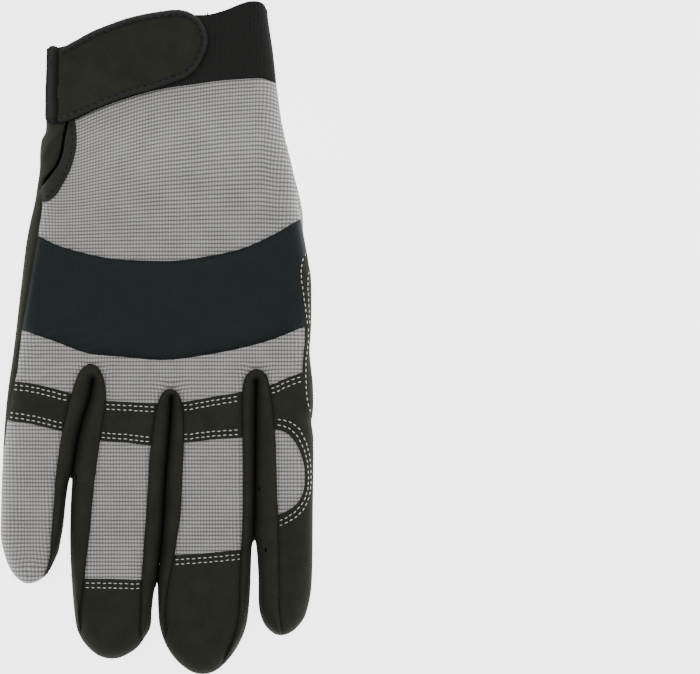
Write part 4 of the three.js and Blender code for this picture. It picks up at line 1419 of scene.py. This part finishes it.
@dataclass
class Needle:
    """Sews rows of stitches as small lozenges on the cloth; sizes in millimetres."""

    length: float = 1.28
    width: float = 0.38
    height: float = 0.28
    pitch: float = 2.0
    stray: float = 0.08
    proud: float = 0.06
    look_ahead: float = 0.3

    def __post_init__(self) -> None:
        """Models one stitch."""
        bpy.ops.mesh.primitive_uv_sphere_add(segments=7, ring_count=5, radius=0.5)
        bead = bpy.context.object
        mesh = bead.data
        flat = np.empty(len(mesh.vertices) * 3)
        mesh.vertices.foreach_get("co", flat)
        # the sphere's poles lie along the stitch
        self.bead = flat.reshape(-1, 3)[:, [2, 0, 1]] * (self.length, self.width, self.height)
        self.bead_faces = [tuple(face.vertices) for face in mesh.polygons]
        bpy.data.objects.remove(bead)
        bpy.data.meshes.remove(mesh)

    def spots(self, line: Array) -> Array:
        """Evenly spaced points on a line.

        Args:
            line: Plan points in order.

        Returns:
            The points.
        """
        run = np.concatenate([[0], np.cumsum(np.linalg.norm(np.diff(line, axis=0), axis=1))])
        count = max(2, int(round(run[-1] / self.pitch)) + 1)
        where = np.linspace(0, run[-1], count)
        where[1:-1] += self.stray * np.sin(np.arange(1, count - 1) * 7.3)
        return np.stack([np.interp(where, run, line[:, 0]), np.interp(where, run, line[:, 1])], axis=1)

    def sew(self, name: str, rows: Sequence[Array], lift: Relief, within: Relief, finish: Finish,
            lay: Laying) -> None:
        """Sews rows and joins them into one piece.

        Args:
            name: The piece's name.
            rows: Plan lines.
            lift: How far the cloth there stands proud of the form.
            within: Positive where stitches may lie.
            finish: The thread.
            lay: Gives points and outward ways for plan points and their lift.
        """
        points, faces = [], []
        for row in rows:
            spots = self.spots(row)
            spots = spots[within(spots[:, 0], spots[:, 1]) > 0]
            if len(spots) < 2:
                continue
            place, out = lay(spots, lift)
            ahead, _ = lay(spots + self.look_ahead * unit(np.gradient(spots, axis=0)), lift)
            along = unit(ahead - place)
            out = unit(out - along * np.sum(out * along, axis=1, keepdims=True))
            across = np.cross(out, along)
            for k, (at, a, b, c) in enumerate(zip(place, along, across, out)):
                start = len(points) * len(self.bead)
                slant = a + b * self.stray * math.sin(k * 5.1)
                shift = c * self.proud + b * self.proud * math.sin(k * 3.7)
                points.append(at + self.bead @ np.stack([slant, b, c]) + shift)
                faces += [tuple(i + start for i in face) for face in self.bead_faces]
        mesh = bpy.data.meshes.new(name)
        mesh.from_pydata((np.vstack(points) * MM).tolist(), [], faces)
        item = bpy.data.objects.new(name, mesh)
        bpy.context.collection.objects.link(item)
        placed(item, finish, angle=80)


def eyelet() -> Needle:
    """A needle whose short wide stitches are near-black beads of painted shade standing for vent holes."""
    return Needle(length=1.1, width=0.9, height=0.24)


def eyelets(read: Callable[[Pixels], Array], pixels: Pixels, length: float = 1.6) -> list[Array]:
    """A short plan line at each vent hole, its length in pixels."""
    return [read([(x, y), (x, y + length)]) for x, y in pixels]


@dataclass
class Lay:
    """Lays points of the plan on the surface of the back, the palm or a layer over the cuff."""

    plan: Plan
    side: Side = Side.TOP
    bare: bool = False

    def __call__(self, spots: Array, lift: Relief) -> tuple[Array, Array]:
        """Points in space and ways out for plan points.

        Args:
            spots: Plan points.
            lift: How far the layer there stands proud of the cloth.

        Returns:
            The points and the ways out.
        """
        x, y = spots[:, 0], spots[:, 1]
        reading = self.plan.outline.read(spots)
        relief = lift(x, y)
        if self.bare:
            edge = np.maximum(reading.distance, FORM.rim_fade)
            return FORM.surface(x, y, edge, np.zeros_like(spots), self.side, relief)
        relief = relief + (self.plan.relief if self.side is Side.TOP else self.plan.under_relief)(x, y)
        return FORM.surface(x, y, np.maximum(reading.distance, 0.05), reading.direction, self.side, relief)


# Sub-assemblies

@dataclass
class GloveNet:
    """The two flat nets that the panels are cut from."""

    plan: Plan
    top_step: float = 0.55
    under_step: float = 0.8
    margin: float = 2.0
    past_mouth: float = 3.0

    def net(self, step: float) -> Sheet:
        """A net inside the outline, drawn together towards its edge.

        Args:
            step: The size of the net's squares.

        Returns:
            The net.
        """
        low = self.plan.outline.points.min(axis=0) - self.margin
        high = self.plan.outline.points.max(axis=0) + self.margin
        sheet = Sheet.grid(low, high, step)
        x, y = sheet.column(Sheet.X, Sheet.Y)
        keep = self.plan.mouth(x, y) < self.past_mouth
        reading = self.plan.outline.read(sheet.place)
        sheet.measure(reading)
        sheet = sheet.cut(np.where(keep, reading.distance, -1.0))
        gap = sheet.data[:, Sheet.EDGE].copy()
        way = unit(sheet.data[:, Sheet.WAY_X:])
        sheet.data[:, Sheet.WAY_X:] = way
        share = np.clip(gap / FORM.round_off, 0, 1)
        pulled = np.where(share < 1, FORM.round_off * share ** 2 * (2 - share), gap)
        sheet.data[:, Sheet.X:Sheet.EDGE] += way * (pulled - gap)[:, None]
        sheet.data[:, Sheet.EDGE] = pulled
        x, y = sheet.column(Sheet.X, Sheet.Y)
        return sheet.cut(-self.plan.mouth(x, y))


@dataclass
class Back:
    """The back of the hand, the knuckles and the finger backs."""

    plan: Plan
    wardrobe: Wardrobe
    wall: float = 1.2
    strip: float = 0.5
    puff: float = 1.1
    tape: float = 0.7
    tape_soften: float = 1.0
    tape_row: float = 0.75
    fill: float = 0.3
    rim: float = 1.0  # how far the palm's cloth comes round at a fingertip
    strip_rows: tuple[float, ...] = (3.5, 8.0)  # rows' gaps from the seam, in the photograph's pixels
    cap_rows: tuple[float, ...] = (4.4, 9.0)
    edge_margin: float = 0.3
    row_margin: float = 0.6
    puff_run: float = 5.0  # the padding swells over this far from its seams
    lay: Lay = field(init=False)
    needle: Needle = field(init=False)
    radial_patch: Sheet = field(init=False)

    def __post_init__(self) -> None:
        """Prepares the lay and the needle."""
        self.lay = Lay(self.plan)
        self.needle = Needle()

    def panel(self, name: str, sheet: Sheet, lift: Relief, finish: Finish,
              nodes: Sequence[str]) -> bpy.types.Object:
        """One panel of the back, laid, thickened and dressed.

        Args:
            name: The piece's name.
            sheet: Its part of the net.
            lift: How far it stands proud.
            finish: Its finish.
            nodes: The nodes that it stands for.

        Returns:
            The panel.
        """
        x, y = sheet.column(Sheet.X, Sheet.Y)
        cloth = FORM.lay(sheet, Side.TOP, self.plan.relief(x, y) + lift(x, y))
        if finish.slot is Slot.KNIT:
            cloth.flat = self.plan.weave(cloth.flat)
        return made(name, cloth, self.wall, finish, nodes)

    def band_puff(self, x: Array, y: Array) -> Array:
        """The padded band's swell between its two seams.

        Args:
            x: Places across the hand.
            y: Places along the hand.

        Returns:
            The swell's heights.
        """
        from_top = -self.plan.above["band_top"](x, y)
        from_bottom = self.plan.above["band_bottom"](x, y)
        near = np.clip(np.minimum(from_top, from_bottom) / self.puff_run, 0, 1)
        return self.puff * (1 - (1 - near) ** 2.5)

    def build(self, net: Sheet) -> Sheet:
        """Cuts and makes the panels.

        Args:
            net: The back's net below the cuff's seam.

        Returns:
            What is left for the palm, round the edges.
        """
        plan, cloth = self.plan, self.wardrobe
        rest = net
        for name, line in plan.sidewalls.items():
            part, rest = rest.split(line.inside)
            self.panel(f"finger_wall_{name}", part, plan.tube(name), cloth.suede, [f"sidewall_{name}"])
        radial, rest = rest.split(plan.radial.inside)
        _, rest = rest.split(plan.slit.inside)
        tape, rest = rest.split(plan.slit_tape.inside)
        self.panel("slit_edge_tape", tape, overlay(self.tape, plan.slit_tape, self.tape_soften), cloth.tape,
                   ["slit_binding"])
        rest, ulnar = rest.split(plan.left_seam)
        above, rest = rest.split(plan.above["band_top"])
        self.panel("back_of_hand", above, none, cloth.knit, ["back_panel"])
        band, rest = rest.split(plan.above["band_bottom"])
        padded = self.panel("knuckle_cushion", band, self.band_puff, cloth.neoprene, ["knuckle_band"])
        knuckles, rest = rest.split(plan.above["strip_top"])
        self.panel("knuckle_cloth", knuckles, none, cloth.knit, ["knuckle_panel"])
        left_over = Sheet.joined(self.fingers(rest), ulnar)
        self.radial_patch = radial
        self.sew_rows()
        return left_over

    def fingers(self, rest: Sheet) -> Sheet:
        """The four finger backs below the top of the knuckle strips.

        Args:
            rest: The net below the strips' top.

        Returns:
            The rims that belong to the palm's cloth.
        """
        plan, cloth = self.plan, self.wardrobe
        lift = overlay(self.strip)
        index, rest = rest.split(plan.creases["middle_index"])
        window, index = index.split(plan.window.inside)
        self.panel("index_cover", index, lift, cloth.suede, ["index_back"])
        self.panel("index_knit", window, none, cloth.knit, ["index_window"])
        strips, rest = rest.split(plan.above["strip_bottom"])
        middle, others = strips.split(plan.creases["ring_middle"])
        ring, pinky = others.split(plan.creases["pinky_ring"])
        for name, part in (("middle", middle), ("ring", ring), ("pinky", pinky)):
            self.panel(f"knuckle_guard_{name}", part, lift, cloth.suede, [f"knuckle_strip_{name}"])
        middle, rest = rest.split(plan.creases["ring_middle"])
        ring, pinky = rest.split(plan.creases["pinky_ring"])
        self.panel("pinky_knit", pinky, none, cloth.knit, ["finger_back_pinky"])
        rims = []
        for name, part in (("ring", ring), ("middle", middle)):
            knit, cap = part.split(plan.above[f"{name}_cap"])
            self.panel(f"{name}_knit", knit, none, cloth.knit, [f"finger_back_{name}"])
            x, y = cap.column(Sheet.X, Sheet.Y)
            inner = plan.outline.inside(x, y) - self.rim
            self.panel(f"fingertip_{name}", cap.cut(inner), lift, cloth.suede, [f"fingertip_cap_{name}"])
            rims.append(cap.cut(-inner))
        return Sheet.joined(*rims)

    def clear_of_walls(self, x: Array, y: Array) -> Array:
        """Positive on the back outside the sidewalls and the radial patch.

        Args:
            x: Places across the hand.
            y: Places along the hand.

        Returns:
            A signed distance.
        """
        value = np.minimum(self.plan.outline.inside(x, y), self.plan.left_seam(x, y))
        for line in [*self.plan.sidewalls.values(), self.plan.radial]:
            value = np.minimum(value, -line.inside(x, y))
        return value - self.row_margin

    def sew_rows(self) -> None:
        """The white double rows of the back."""
        plan, cloth = self.plan, self.wardrobe
        lift = overlay(self.strip)
        strip_gaps = [gap * PHOTO.scale for gap in self.strip_rows]
        cap_gaps = [gap * PHOTO.scale for gap in self.cap_rows]
        top_rows = beside(plan.across["strip_top"], *(-gap for gap in strip_gaps))
        bottom_rows = beside(plan.across["strip_bottom"], *strip_gaps)

        def on_strip(x: Array, y: Array) -> Array:
            """Positive on the strips.

            Args:
                x: Places across the hand.
                y: Places along the hand.

            Returns:
                A signed distance.
            """
            index = plan.creases["middle_index"](x, y)
            low = plan.above["strip_bottom"](x, y)
            return np.minimum(self.clear_of_walls(x, y), np.where(index > 0, 1.0, low))

        def lower_ok(x: Array, y: Array) -> Array:
            """Positive on the strips of the pinky, ring and middle fingers."""
            return np.minimum(on_strip(x, y), -plan.creases["middle_index"](x, y))

        sew, lay, thread = self.needle.sew, self.lay, cloth.white
        sew("strip_stitches_top", top_rows, lift, on_strip, thread, lay)
        sew("strip_stitches_bottom", bottom_rows, lift, lower_ok, thread, lay)
        for k, (name, span) in enumerate(CAP_SPANS.items()):
            low, high = PHOTO.plan([(edge, 0) for edge in span])[:, 0]

            def on_cap(x: Array, y: Array) -> Array:
                """Positive on one finger's back."""
                return np.minimum(self.clear_of_walls(x, y), np.minimum(x - low, high - x))

            rows = beside(plan.across[name], *(-gap for gap in cap_gaps))
            sew(f"cap_stitches_{k}", rows, lift, on_cap, thread, lay)
        rows = [drawn(row) for row in WINDOW_ROWS]
        sew("window_stitches", rows, lift, self.clear_of_walls, thread, lay)
        rows = [drawn(row) for row in RADIAL_ROWS]
        sew("side_patch_stitches", rows, lift, lambda x, y: plan.outline.inside(x, y) - self.edge_margin,
            thread, lay)
        tape = Needle(length=1.5, width=0.5, pitch=2.5)
        tape.sew("slit_tape_stitches", [drawn(SLIT_ROW)], overlay(self.tape_row), everywhere,
                 cloth.black, lay)
        # the vent holes as near-black beads of painted shade
        eyelet().sew("vent_shade_marks", eyelets(PHOTO.plan, VENTS),
                     lambda x, y: sum(plan.tube(name)(x, y) for name in plan.sidewalls),
                     everywhere, cloth.hole_shade, lay)


@dataclass
class Palm:
    """The palm, the edge strips that go round to the back, and the radial patch."""

    plan: Plan
    wardrobe: Wardrobe
    wall: float = 1.2
    patch: float = 0.5
    pad_base: float = 0.5
    pad_puff: float = 0.8
    tab_puff: float = 0.3
    base_run: tuple[float, float] = (-0.2, 0.5)
    puff_run: tuple[float, float] = (3.0, 7.0)
    fill: float = 0.25
    pad_rows: tuple[float, ...] = (0.9, 2.0, 3.1)
    tab_rows: tuple[float, ...] = (0.9, 2.2)
    patch_rows: tuple[float, ...] = (0.8, 2.2)
    edge_margin: float = 1.0
    thumb_margin: float = 0.5

    def panel(self, name: str, sheet: Sheet, lift: Relief, finish: Finish,
              nodes: Sequence[str], *parts: Cloth) -> bpy.types.Object:
        """One panel of the palm, joined with parts of it that lie on the back.

        Args:
            name: The piece's name.
            sheet: Its part of the net.
            lift: How far it stands proud.
            finish: Its finish.
            nodes: The nodes that it stands for.
            *parts: Its parts on the back.

        Returns:
            The panel.
        """
        x, y = sheet.column(Sheet.X, Sheet.Y)
        cloth = FORM.lay(sheet, Side.UNDER, self.plan.under_relief(x, y) + lift(x, y))
        return made(name, Cloth.joined(*parts, cloth), self.wall, finish, nodes)

    def padding(self, line: Line, puff: float) -> Relief:
        """A pad's height: low where it is sewn, full inside, low again under the thumb.

        Args:
            line: The pad's outline.
            puff: How much higher the pad is in the middle.

        Returns:
            The pad's height at each place.
        """
        def height(x: Array, y: Array) -> Array:
            """Height above the palm.

            Args:
                x: Places across the hand.
                y: Places along the hand.

            Returns:
                The heights.
            """
            inside = line.inside(x, y)
            swell = self.pad_base * ramp(*self.base_run, inside) + puff * ramp(*self.puff_run, inside)
            return swell * self.plan.clear_of_thumb(x, y)
        return height

    def build(self, under: Sheet, edges: Sheet, radial: Sheet) -> None:
        """Makes the palm from its net and what the back left for it.

        Args:
            under: The palm's net below the cuff's seam.
            edges: What goes round from the palm to the back.
            radial: The side patch's part on the back.
        """
        plan, cloth = self.plan, self.wardrobe
        wrap, rest = under.split(plan.wrap.inside)
        self.panel("wrist_knit_wrap", wrap, none, cloth.knit, [])
        side, rest = rest.split(plan.radial_under.inside)
        pad, rest = rest.split(plan.pad.inside)
        tongue, rest = rest.split(plan.tongue.inside)
        x, y = edges.column(Sheet.X, Sheet.Y)
        wrapped = FORM.lay(edges, Side.TOP, plan.relief(x, y))
        self.panel("palm_cloth", rest, none, cloth.suede, ["palm_panel"], wrapped)
        padding = self.padding(plan.pad, self.pad_puff)
        padded = self.panel("palm_padding", pad, padding, cloth.suede, ["palm_pad"])
        tab = self.padding(plan.tongue, self.tab_puff)
        self.panel("palm_tab", tongue, tab, cloth.suede, ["palm_tongue"])
        x, y = radial.column(Sheet.X, Sheet.Y)
        patch = FORM.lay(radial, Side.TOP, plan.relief(x, y) + self.patch)
        self.panel("index_side_patch", side, overlay(self.patch), cloth.suede, ["radial_patch"], patch)
        self.sew(padding, tab)

    def sew(self, padding: Relief, tab: Relief) -> None:
        """The palm's white rows: three round the pad, two round the tab, one up the spike.

        Args:
            padding: The pad's height.
            tab: The tab's height.
        """
        plan, needle, lay = self.plan, Needle(), Lay(self.plan, Side.UNDER)

        def shown(x: Array, y: Array) -> Array:
            """Positive on the palm beside the thumb."""
            return np.minimum(plan.outline.inside(x, y) - self.edge_margin,
                              -plan.thumb.inside(x, y) - self.thumb_margin)

        for name, rows, lift in (
            ("palm_pad_stitches", beside(plan.pad.loop(), *self.pad_rows), padding),
            ("palm_tab_stitches", beside(plan.tongue.loop(), *self.tab_rows), tab),
            ("palm_spike_stitches", [smooth(PHOTO.palm(SPIKE))], padding),
            ("side_patch_under_stitches", beside(plan.radial_under.loop(), *self.patch_rows),
             overlay(self.patch)),
        ):
            needle.sew(name, rows, lift, shown, self.wardrobe.white, lay)
        # the palm's vent holes as near-black beads of painted shade
        eyelet().sew("palm_vent_shade_marks", eyelets(PHOTO.palm, UNDER_VENTS), none, shown,
                     self.wardrobe.hole_shade, lay)


@dataclass
class Cuff:
    """The elastic cuff, its strap and the fold at its opening."""

    plan: Plan
    wardrobe: Wardrobe
    wall: float = 1.5
    strap_wall: float = 1.4
    tape_wall: float = 1.9
    fold_wall: float = 1.6
    row_margin: float = 0.5
    row_share: float = 0.72  # how far across the tape its row is sewn
    strap_lift: float = 2.2
    tape_width: float = 2.6
    tape_height: float = 0.7
    tape_fall: float = 0.4
    strap_step: float = 0.25
    strap_swell: float = 0.5
    swell_run: float = 8.0
    sway_share: float = 0.5
    fold_lift: float = 0.6
    fold_height: float = 1.6
    fold_run: float = 2.4
    grid_step: float = 0.5

    def build(self, top: Sheet, under: Sheet) -> None:
        """Makes the cuff's pieces.

        Args:
            top: The net above the cuff's seam.
            under: The same on the palm's side.
        """
        cloth, plan = self.wardrobe, self.plan
        x, y = top.column(Sheet.X, Sheet.Y)
        upper = FORM.lay(top, Side.TOP, plan.relief(x, y))
        x, y = under.column(Sheet.X, Sheet.Y)
        lower = FORM.lay(under, Side.UNDER, none(x, y))
        made("cuff_elastic", Cloth.joined(upper, lower), self.wall, cloth.elastic,
             ["cuff_band", "strap_hook_patch"])
        self.strap()
        self.fold()

    def patch(self, name: str, line: Line, lift: Relief, rule: Relief, wall: float,
              finish: Finish, nodes: Sequence[str]) -> bpy.types.Object:
        """A layer over the cuff inside an outline.

        Args:
            name: The layer's name.
            line: Its outline.
            lift: How far it stands proud.
            rule: Positive where it is.
            wall: Its thickness.
            finish: Its finish.
            nodes: The nodes that it stands for.

        Returns:
            The layer.
        """
        low, high = line.points.min(axis=0) - 1, line.points.max(axis=0) + 1
        sheet = Sheet.grid(low, high, self.grid_step)
        sheet, _ = sheet.split(line.inside)
        sheet, _ = sheet.split(rule)
        x, y = sheet.column(Sheet.X, Sheet.Y)
        edge = self.plan.outline.read(sheet.place).distance
        sheet.data[:, Sheet.EDGE] = np.maximum(edge, FORM.rim_fade)
        return made(name, FORM.lay(sheet, Side.TOP, lift(x, y)), wall, finish, nodes)

    def strap(self) -> None:
        """The strap's panel and the tape bound round its edge."""
        rim = Line(drawn(STRAP_RIM), closed=True)
        bound = Line(drawn(STRAP_RIM[1:-1]))

        def depth(x: Array, y: Array) -> Array:
            """Distance in from the bound edge; the left end isn't bound."""
            return bound.away(x, y)

        def inner(x: Array, y: Array) -> Array:
            """Positive inside the tape."""
            return depth(x, y) - self.tape_width

        def roll(x: Array, y: Array) -> Array:
            """The tape's rounded section.

            Args:
                x: Places across the hand.
                y: Places along the hand.

            Returns:
                The heights.
            """
            share = np.clip(depth(x, y) / self.tape_width, 0, 1)
            bulge = self.tape_height * (4 * share * (1 - share)) ** 0.5
            return self.strap_lift + bulge - self.tape_fall * (1 - share) ** 4

        def panel(x: Array, y: Array) -> Array:
            """The panel's own gentle swell."""
            swell = self.strap_swell * ramp(0, self.swell_run, inner(x, y))
            return self.strap_lift + self.strap_step + swell + self.plan.sway(x, y) * self.sway_share

        self.patch("strap_cloth", rim, panel, inner, self.strap_wall, self.wardrobe.suede, ["strap"])
        self.patch("strap_edge_tape", rim, roll, lambda x, y: -inner(x, y), self.tape_wall,
                   self.wardrobe.tape, ["strap_binding"])
        thread = Needle(length=1.7, width=0.5, pitch=2.7)
        rows = beside(bound.points, -self.row_share * self.tape_width)
        thread.sew("strap_stitches", rows, roll, lambda x, y: rim.inside(x, y) - self.row_margin,
                   self.wardrobe.black, Lay(self.plan, bare=True))

    def fold(self) -> None:
        """The elastic rolled over at the cuff's opening."""
        line = Line(drawn(FOLD), closed=True)

        def roll(x: Array, y: Array) -> Array:
            """A rounded roll."""
            return self.fold_lift + self.fold_height * ramp(0, self.fold_run, line.inside(x, y)) ** 0.7

        self.patch("cuff_roll", line, roll, everywhere, self.fold_wall, self.wardrobe.elastic,
                   ["cuff_fold"])


@dataclass
class Thumb:
    """The thumb, which lies folded under the palm; sizes in millimetres."""

    plan: Plan
    wardrobe: Wardrobe
    depth: float = 10.6
    root: float = 77.6
    length: float = 112.0
    wall: float = 1.2
    step: float = 0.8
    patch: float = 0.6
    gap: float = 0.3  # between the thumb and the palm above it
    rise_beside: float = 2.2  # how steeply it may rise beside the hand
    thinnest: float = 0.8
    fullness: float = 1.1
    row_gap: float = 1.2
    double_gap: float = 1.4
    row_margin: float = 0.8
    slope_step: float = 0.4
    fall: Table = ((0, 0.12, 0.28, 0.42), (0, 0.42, 0.96, 1))  # shares of the length and the drop
    girth: Table = ((0, 0.12, 0.42, 0.85, 1), (0.62, 1.05, 1.02, 0.92, 0.8))  # and of the depth

    def low(self, y: Array) -> Array:
        """How far the thumb has come down from the hand to the floor."""
        return np.interp((self.root - y) / self.length, *self.fall)

    def half(self, y: Array) -> Array:
        """Half the thumb's thickness."""
        return np.interp((self.root - y) / self.length, *self.girth) * self.depth / 2

    def build(self) -> None:
        """Makes the thumb's pieces and sews their rows."""
        line = self.plan.thumb
        low, high = line.points.min(axis=0) - 1, line.points.max(axis=0) + 1
        sheet = Sheet.grid(low, high, self.step)
        reading = line.read(sheet.place)
        sheet.measure(reading)
        sheet = sheet.cut(reading.distance)
        seam = Line(smooth(PHOTO.palm(THUMB_SEAM)))
        heart = ring(PHOTO.palm(HEART))
        grey, black = sheet.split(lambda x, y: -seam.inside(x, y, self.length * 2))
        patch, grey_under = grey.split(heart.inside)
        cloth = self.wardrobe
        for name, layers, lift, finish, node in (
            ("thumb_knit", [(grey, Side.TOP), (grey_under, Side.UNDER)], 0.0, cloth.knit, "thumb_back"),
            ("thumb_cover", [(black, Side.TOP), (black, Side.UNDER)], 0.0, cloth.suede, "thumb_front"),
            ("thumb_heel_patch", [(patch, Side.UNDER)], self.patch, cloth.suede, "thumb_patch"),
        ):
            self.piece(name, layers, lift, finish, node)
        double = smooth(PHOTO.palm(THUMB_ROW))
        for name, rows, lift in (
            ("thumb_seam_stitches", beside(seam.points, self.row_gap), 0.0),
            ("thumb_cover_stitches", [double, *beside(double, self.double_gap)], 0.0),
            ("heel_patch_stitches", beside(heart.loop(), self.row_gap), self.patch),
        ):
            Needle().sew(name, rows, overlay(lift), lambda x, y: line.inside(x, y) - self.row_margin,
                         cloth.white, self.lay)

    def height(self, x: Array, y: Array, edge: Array, side: Side, lift: float | Array) -> Array:
        """Height of one side of the thumb.

        Args:
            x: Places across the hand.
            y: Places along the hand.
            edge: Distances in from the thumb's edge.
            side: The side against the palm or the side on the floor.
            lift: How far the surface stands proud.

        Returns:
            The heights.
        """
        share, _ = FORM.rounded(edge * self.fullness)
        low = self.low(y)
        half = self.half(y)
        middle = FORM.middle(x, y) * (1 - low) + (half + self.patch) * low
        height = middle + side.value * (half * share + lift)
        hand = self.plan.outline.read(np.stack([x, y], axis=1))
        cover, _ = FORM.rounded(np.maximum(hand.distance, 0))
        ceiling = FORM.middle(x, y) - FORM.half(y) * cover - self.gap
        beyond = self.rise_beside * (-np.minimum(hand.distance, 0)) ** 0.7
        limit = ceiling + beyond - (self.thinnest if side is Side.UNDER else 0.0)
        return np.maximum(np.minimum(height, limit), 0)

    def lay(self, spots: Array, lift: Relief) -> tuple[Array, Array]:
        """Points on the thumb's outer side and the ways out of it there.

        Args:
            spots: Plan points.
            lift: How far the layer there stands proud.

        Returns:
            The points and the ways out.
        """
        def at(x: Array, y: Array) -> Array:
            """Height of the surface."""
            edge = np.maximum(self.plan.thumb.inside(x, y), 0.05)
            return self.height(x, y, edge, Side.UNDER, lift(x, y))

        x, y = spots[:, 0], spots[:, 1]
        step = self.slope_step
        rise_x = (at(x + step, y) - at(x - step, y)) / (2 * step)
        rise_y = (at(x, y + step) - at(x, y - step)) / (2 * step)
        out = np.stack([rise_x, rise_y, -np.ones_like(x)], axis=1)
        return np.stack([x, y, at(x, y)], axis=1), unit(out)

    def piece(self, name: str, layers: Sequence[tuple[Sheet, Side]], lift: float, finish: Finish,
              node: str) -> None:
        """One piece of the thumb from its layers.

        Args:
            name: The piece's name.
            layers: Its sheets and the thumb's sides that they lie on.
            lift: How far it stands proud.
            finish: Its finish.
            node: The node that it stands for.
        """
        parts = []
        for sheet, side in layers:
            x, y, edge = sheet.column(Sheet.X, Sheet.Y, Sheet.EDGE)
            parts.append(sheet.cloth(np.stack([x, y, self.height(x, y, edge, side, lift)], axis=1), side))
        made(name, Cloth.joined(*parts), self.wall, finish, [node])


@dataclass
class Studio:
    """Floor, lights and camera; sizes in metres."""

    reach: float = 3.0
    floor: float = 6.0
    floor_drop: float = 0.0002
    lamp_power: float = 16.0
    side_share: float = 0.35
    air: float = 0.4
    sensor: float = 36.0  # in millimetres, as Blender gives it
    scale_height: float = 0.012  # the height at which the photograph's scale holds

    def build(self) -> None:
        """Makes the floor, the lights and the camera."""
        clear_selection()
        bpy.ops.mesh.primitive_plane_add(size=self.floor, location=(0, 0, -self.floor_drop))
        floor = bpy.context.object
        floor.name = "pale_floor"
        floor.data.materials.append(Backdrop().material())
        for name, place, size, power in (
            ("soft_above", (-0.25, 0.45, 1.5), 1.6, self.lamp_power),
            ("soft_right", (1.2, 0.1, 1.1), 1.2, self.lamp_power * self.side_share),
        ):
            bpy.ops.object.light_add(type="AREA", location=place)
            lamp = bpy.context.object
            lamp.name = name
            lamp.data.size = size
            lamp.data.energy = power
            way = -np.asarray(place)
            lamp.rotation_euler = (math.atan2(math.hypot(way[0], way[1]), -way[2]), 0,
                                   math.atan2(way[1], way[0]) - math.pi / 2)
        world = bpy.data.worlds.new("studio_air")
        world.use_nodes = True
        sky = world.node_tree.nodes["Background"].inputs
        sky["Color"].default_value = (1, 1, 1, 1)
        sky["Strength"].default_value = self.air
        bpy.context.scene.world = world
        self.camera()

    def camera(self) -> None:
        """A long lens straight above, framed as the photograph is."""
        centre = PHOTO.plan([(PHOTO.width / 2, PHOTO.height / 2)])[0] * MM
        bpy.ops.object.camera_add(location=(centre[0], centre[1], self.reach))
        camera = bpy.context.object
        camera.rotation_euler = (0, 0, 0)
        camera.data.sensor_width = self.sensor
        width = PHOTO.width * PHOTO.scale * MM
        camera.data.lens = self.sensor * (self.reach - self.scale_height) / width
        camera.data.clip_end = 20
        bpy.context.scene.camera = camera


def main() -> None:
    """Builds the glove's pieces in order."""
    logging.basicConfig(level=logging.INFO, format="%(message)s")
    clear_selection()
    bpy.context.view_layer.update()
    plan = Plan()
    wardrobe = Wardrobe()
    nets = GloveNet(plan)
    cuff_top, back_net = nets.net(nets.top_step).split(plan.cuff_seam)
    cuff_under, palm_net = nets.net(nets.under_step).split(plan.cuff_seam)
    back = Back(plan, wardrobe)
    edges = back.build(back_net)
    Palm(plan, wardrobe).build(palm_net, edges, back.radial_patch)
    Cuff(plan, wardrobe).build(cuff_top, cuff_under)
    Thumb(plan, wardrobe).build()
    Studio().build()


if __name__ == "__main__":
    main()
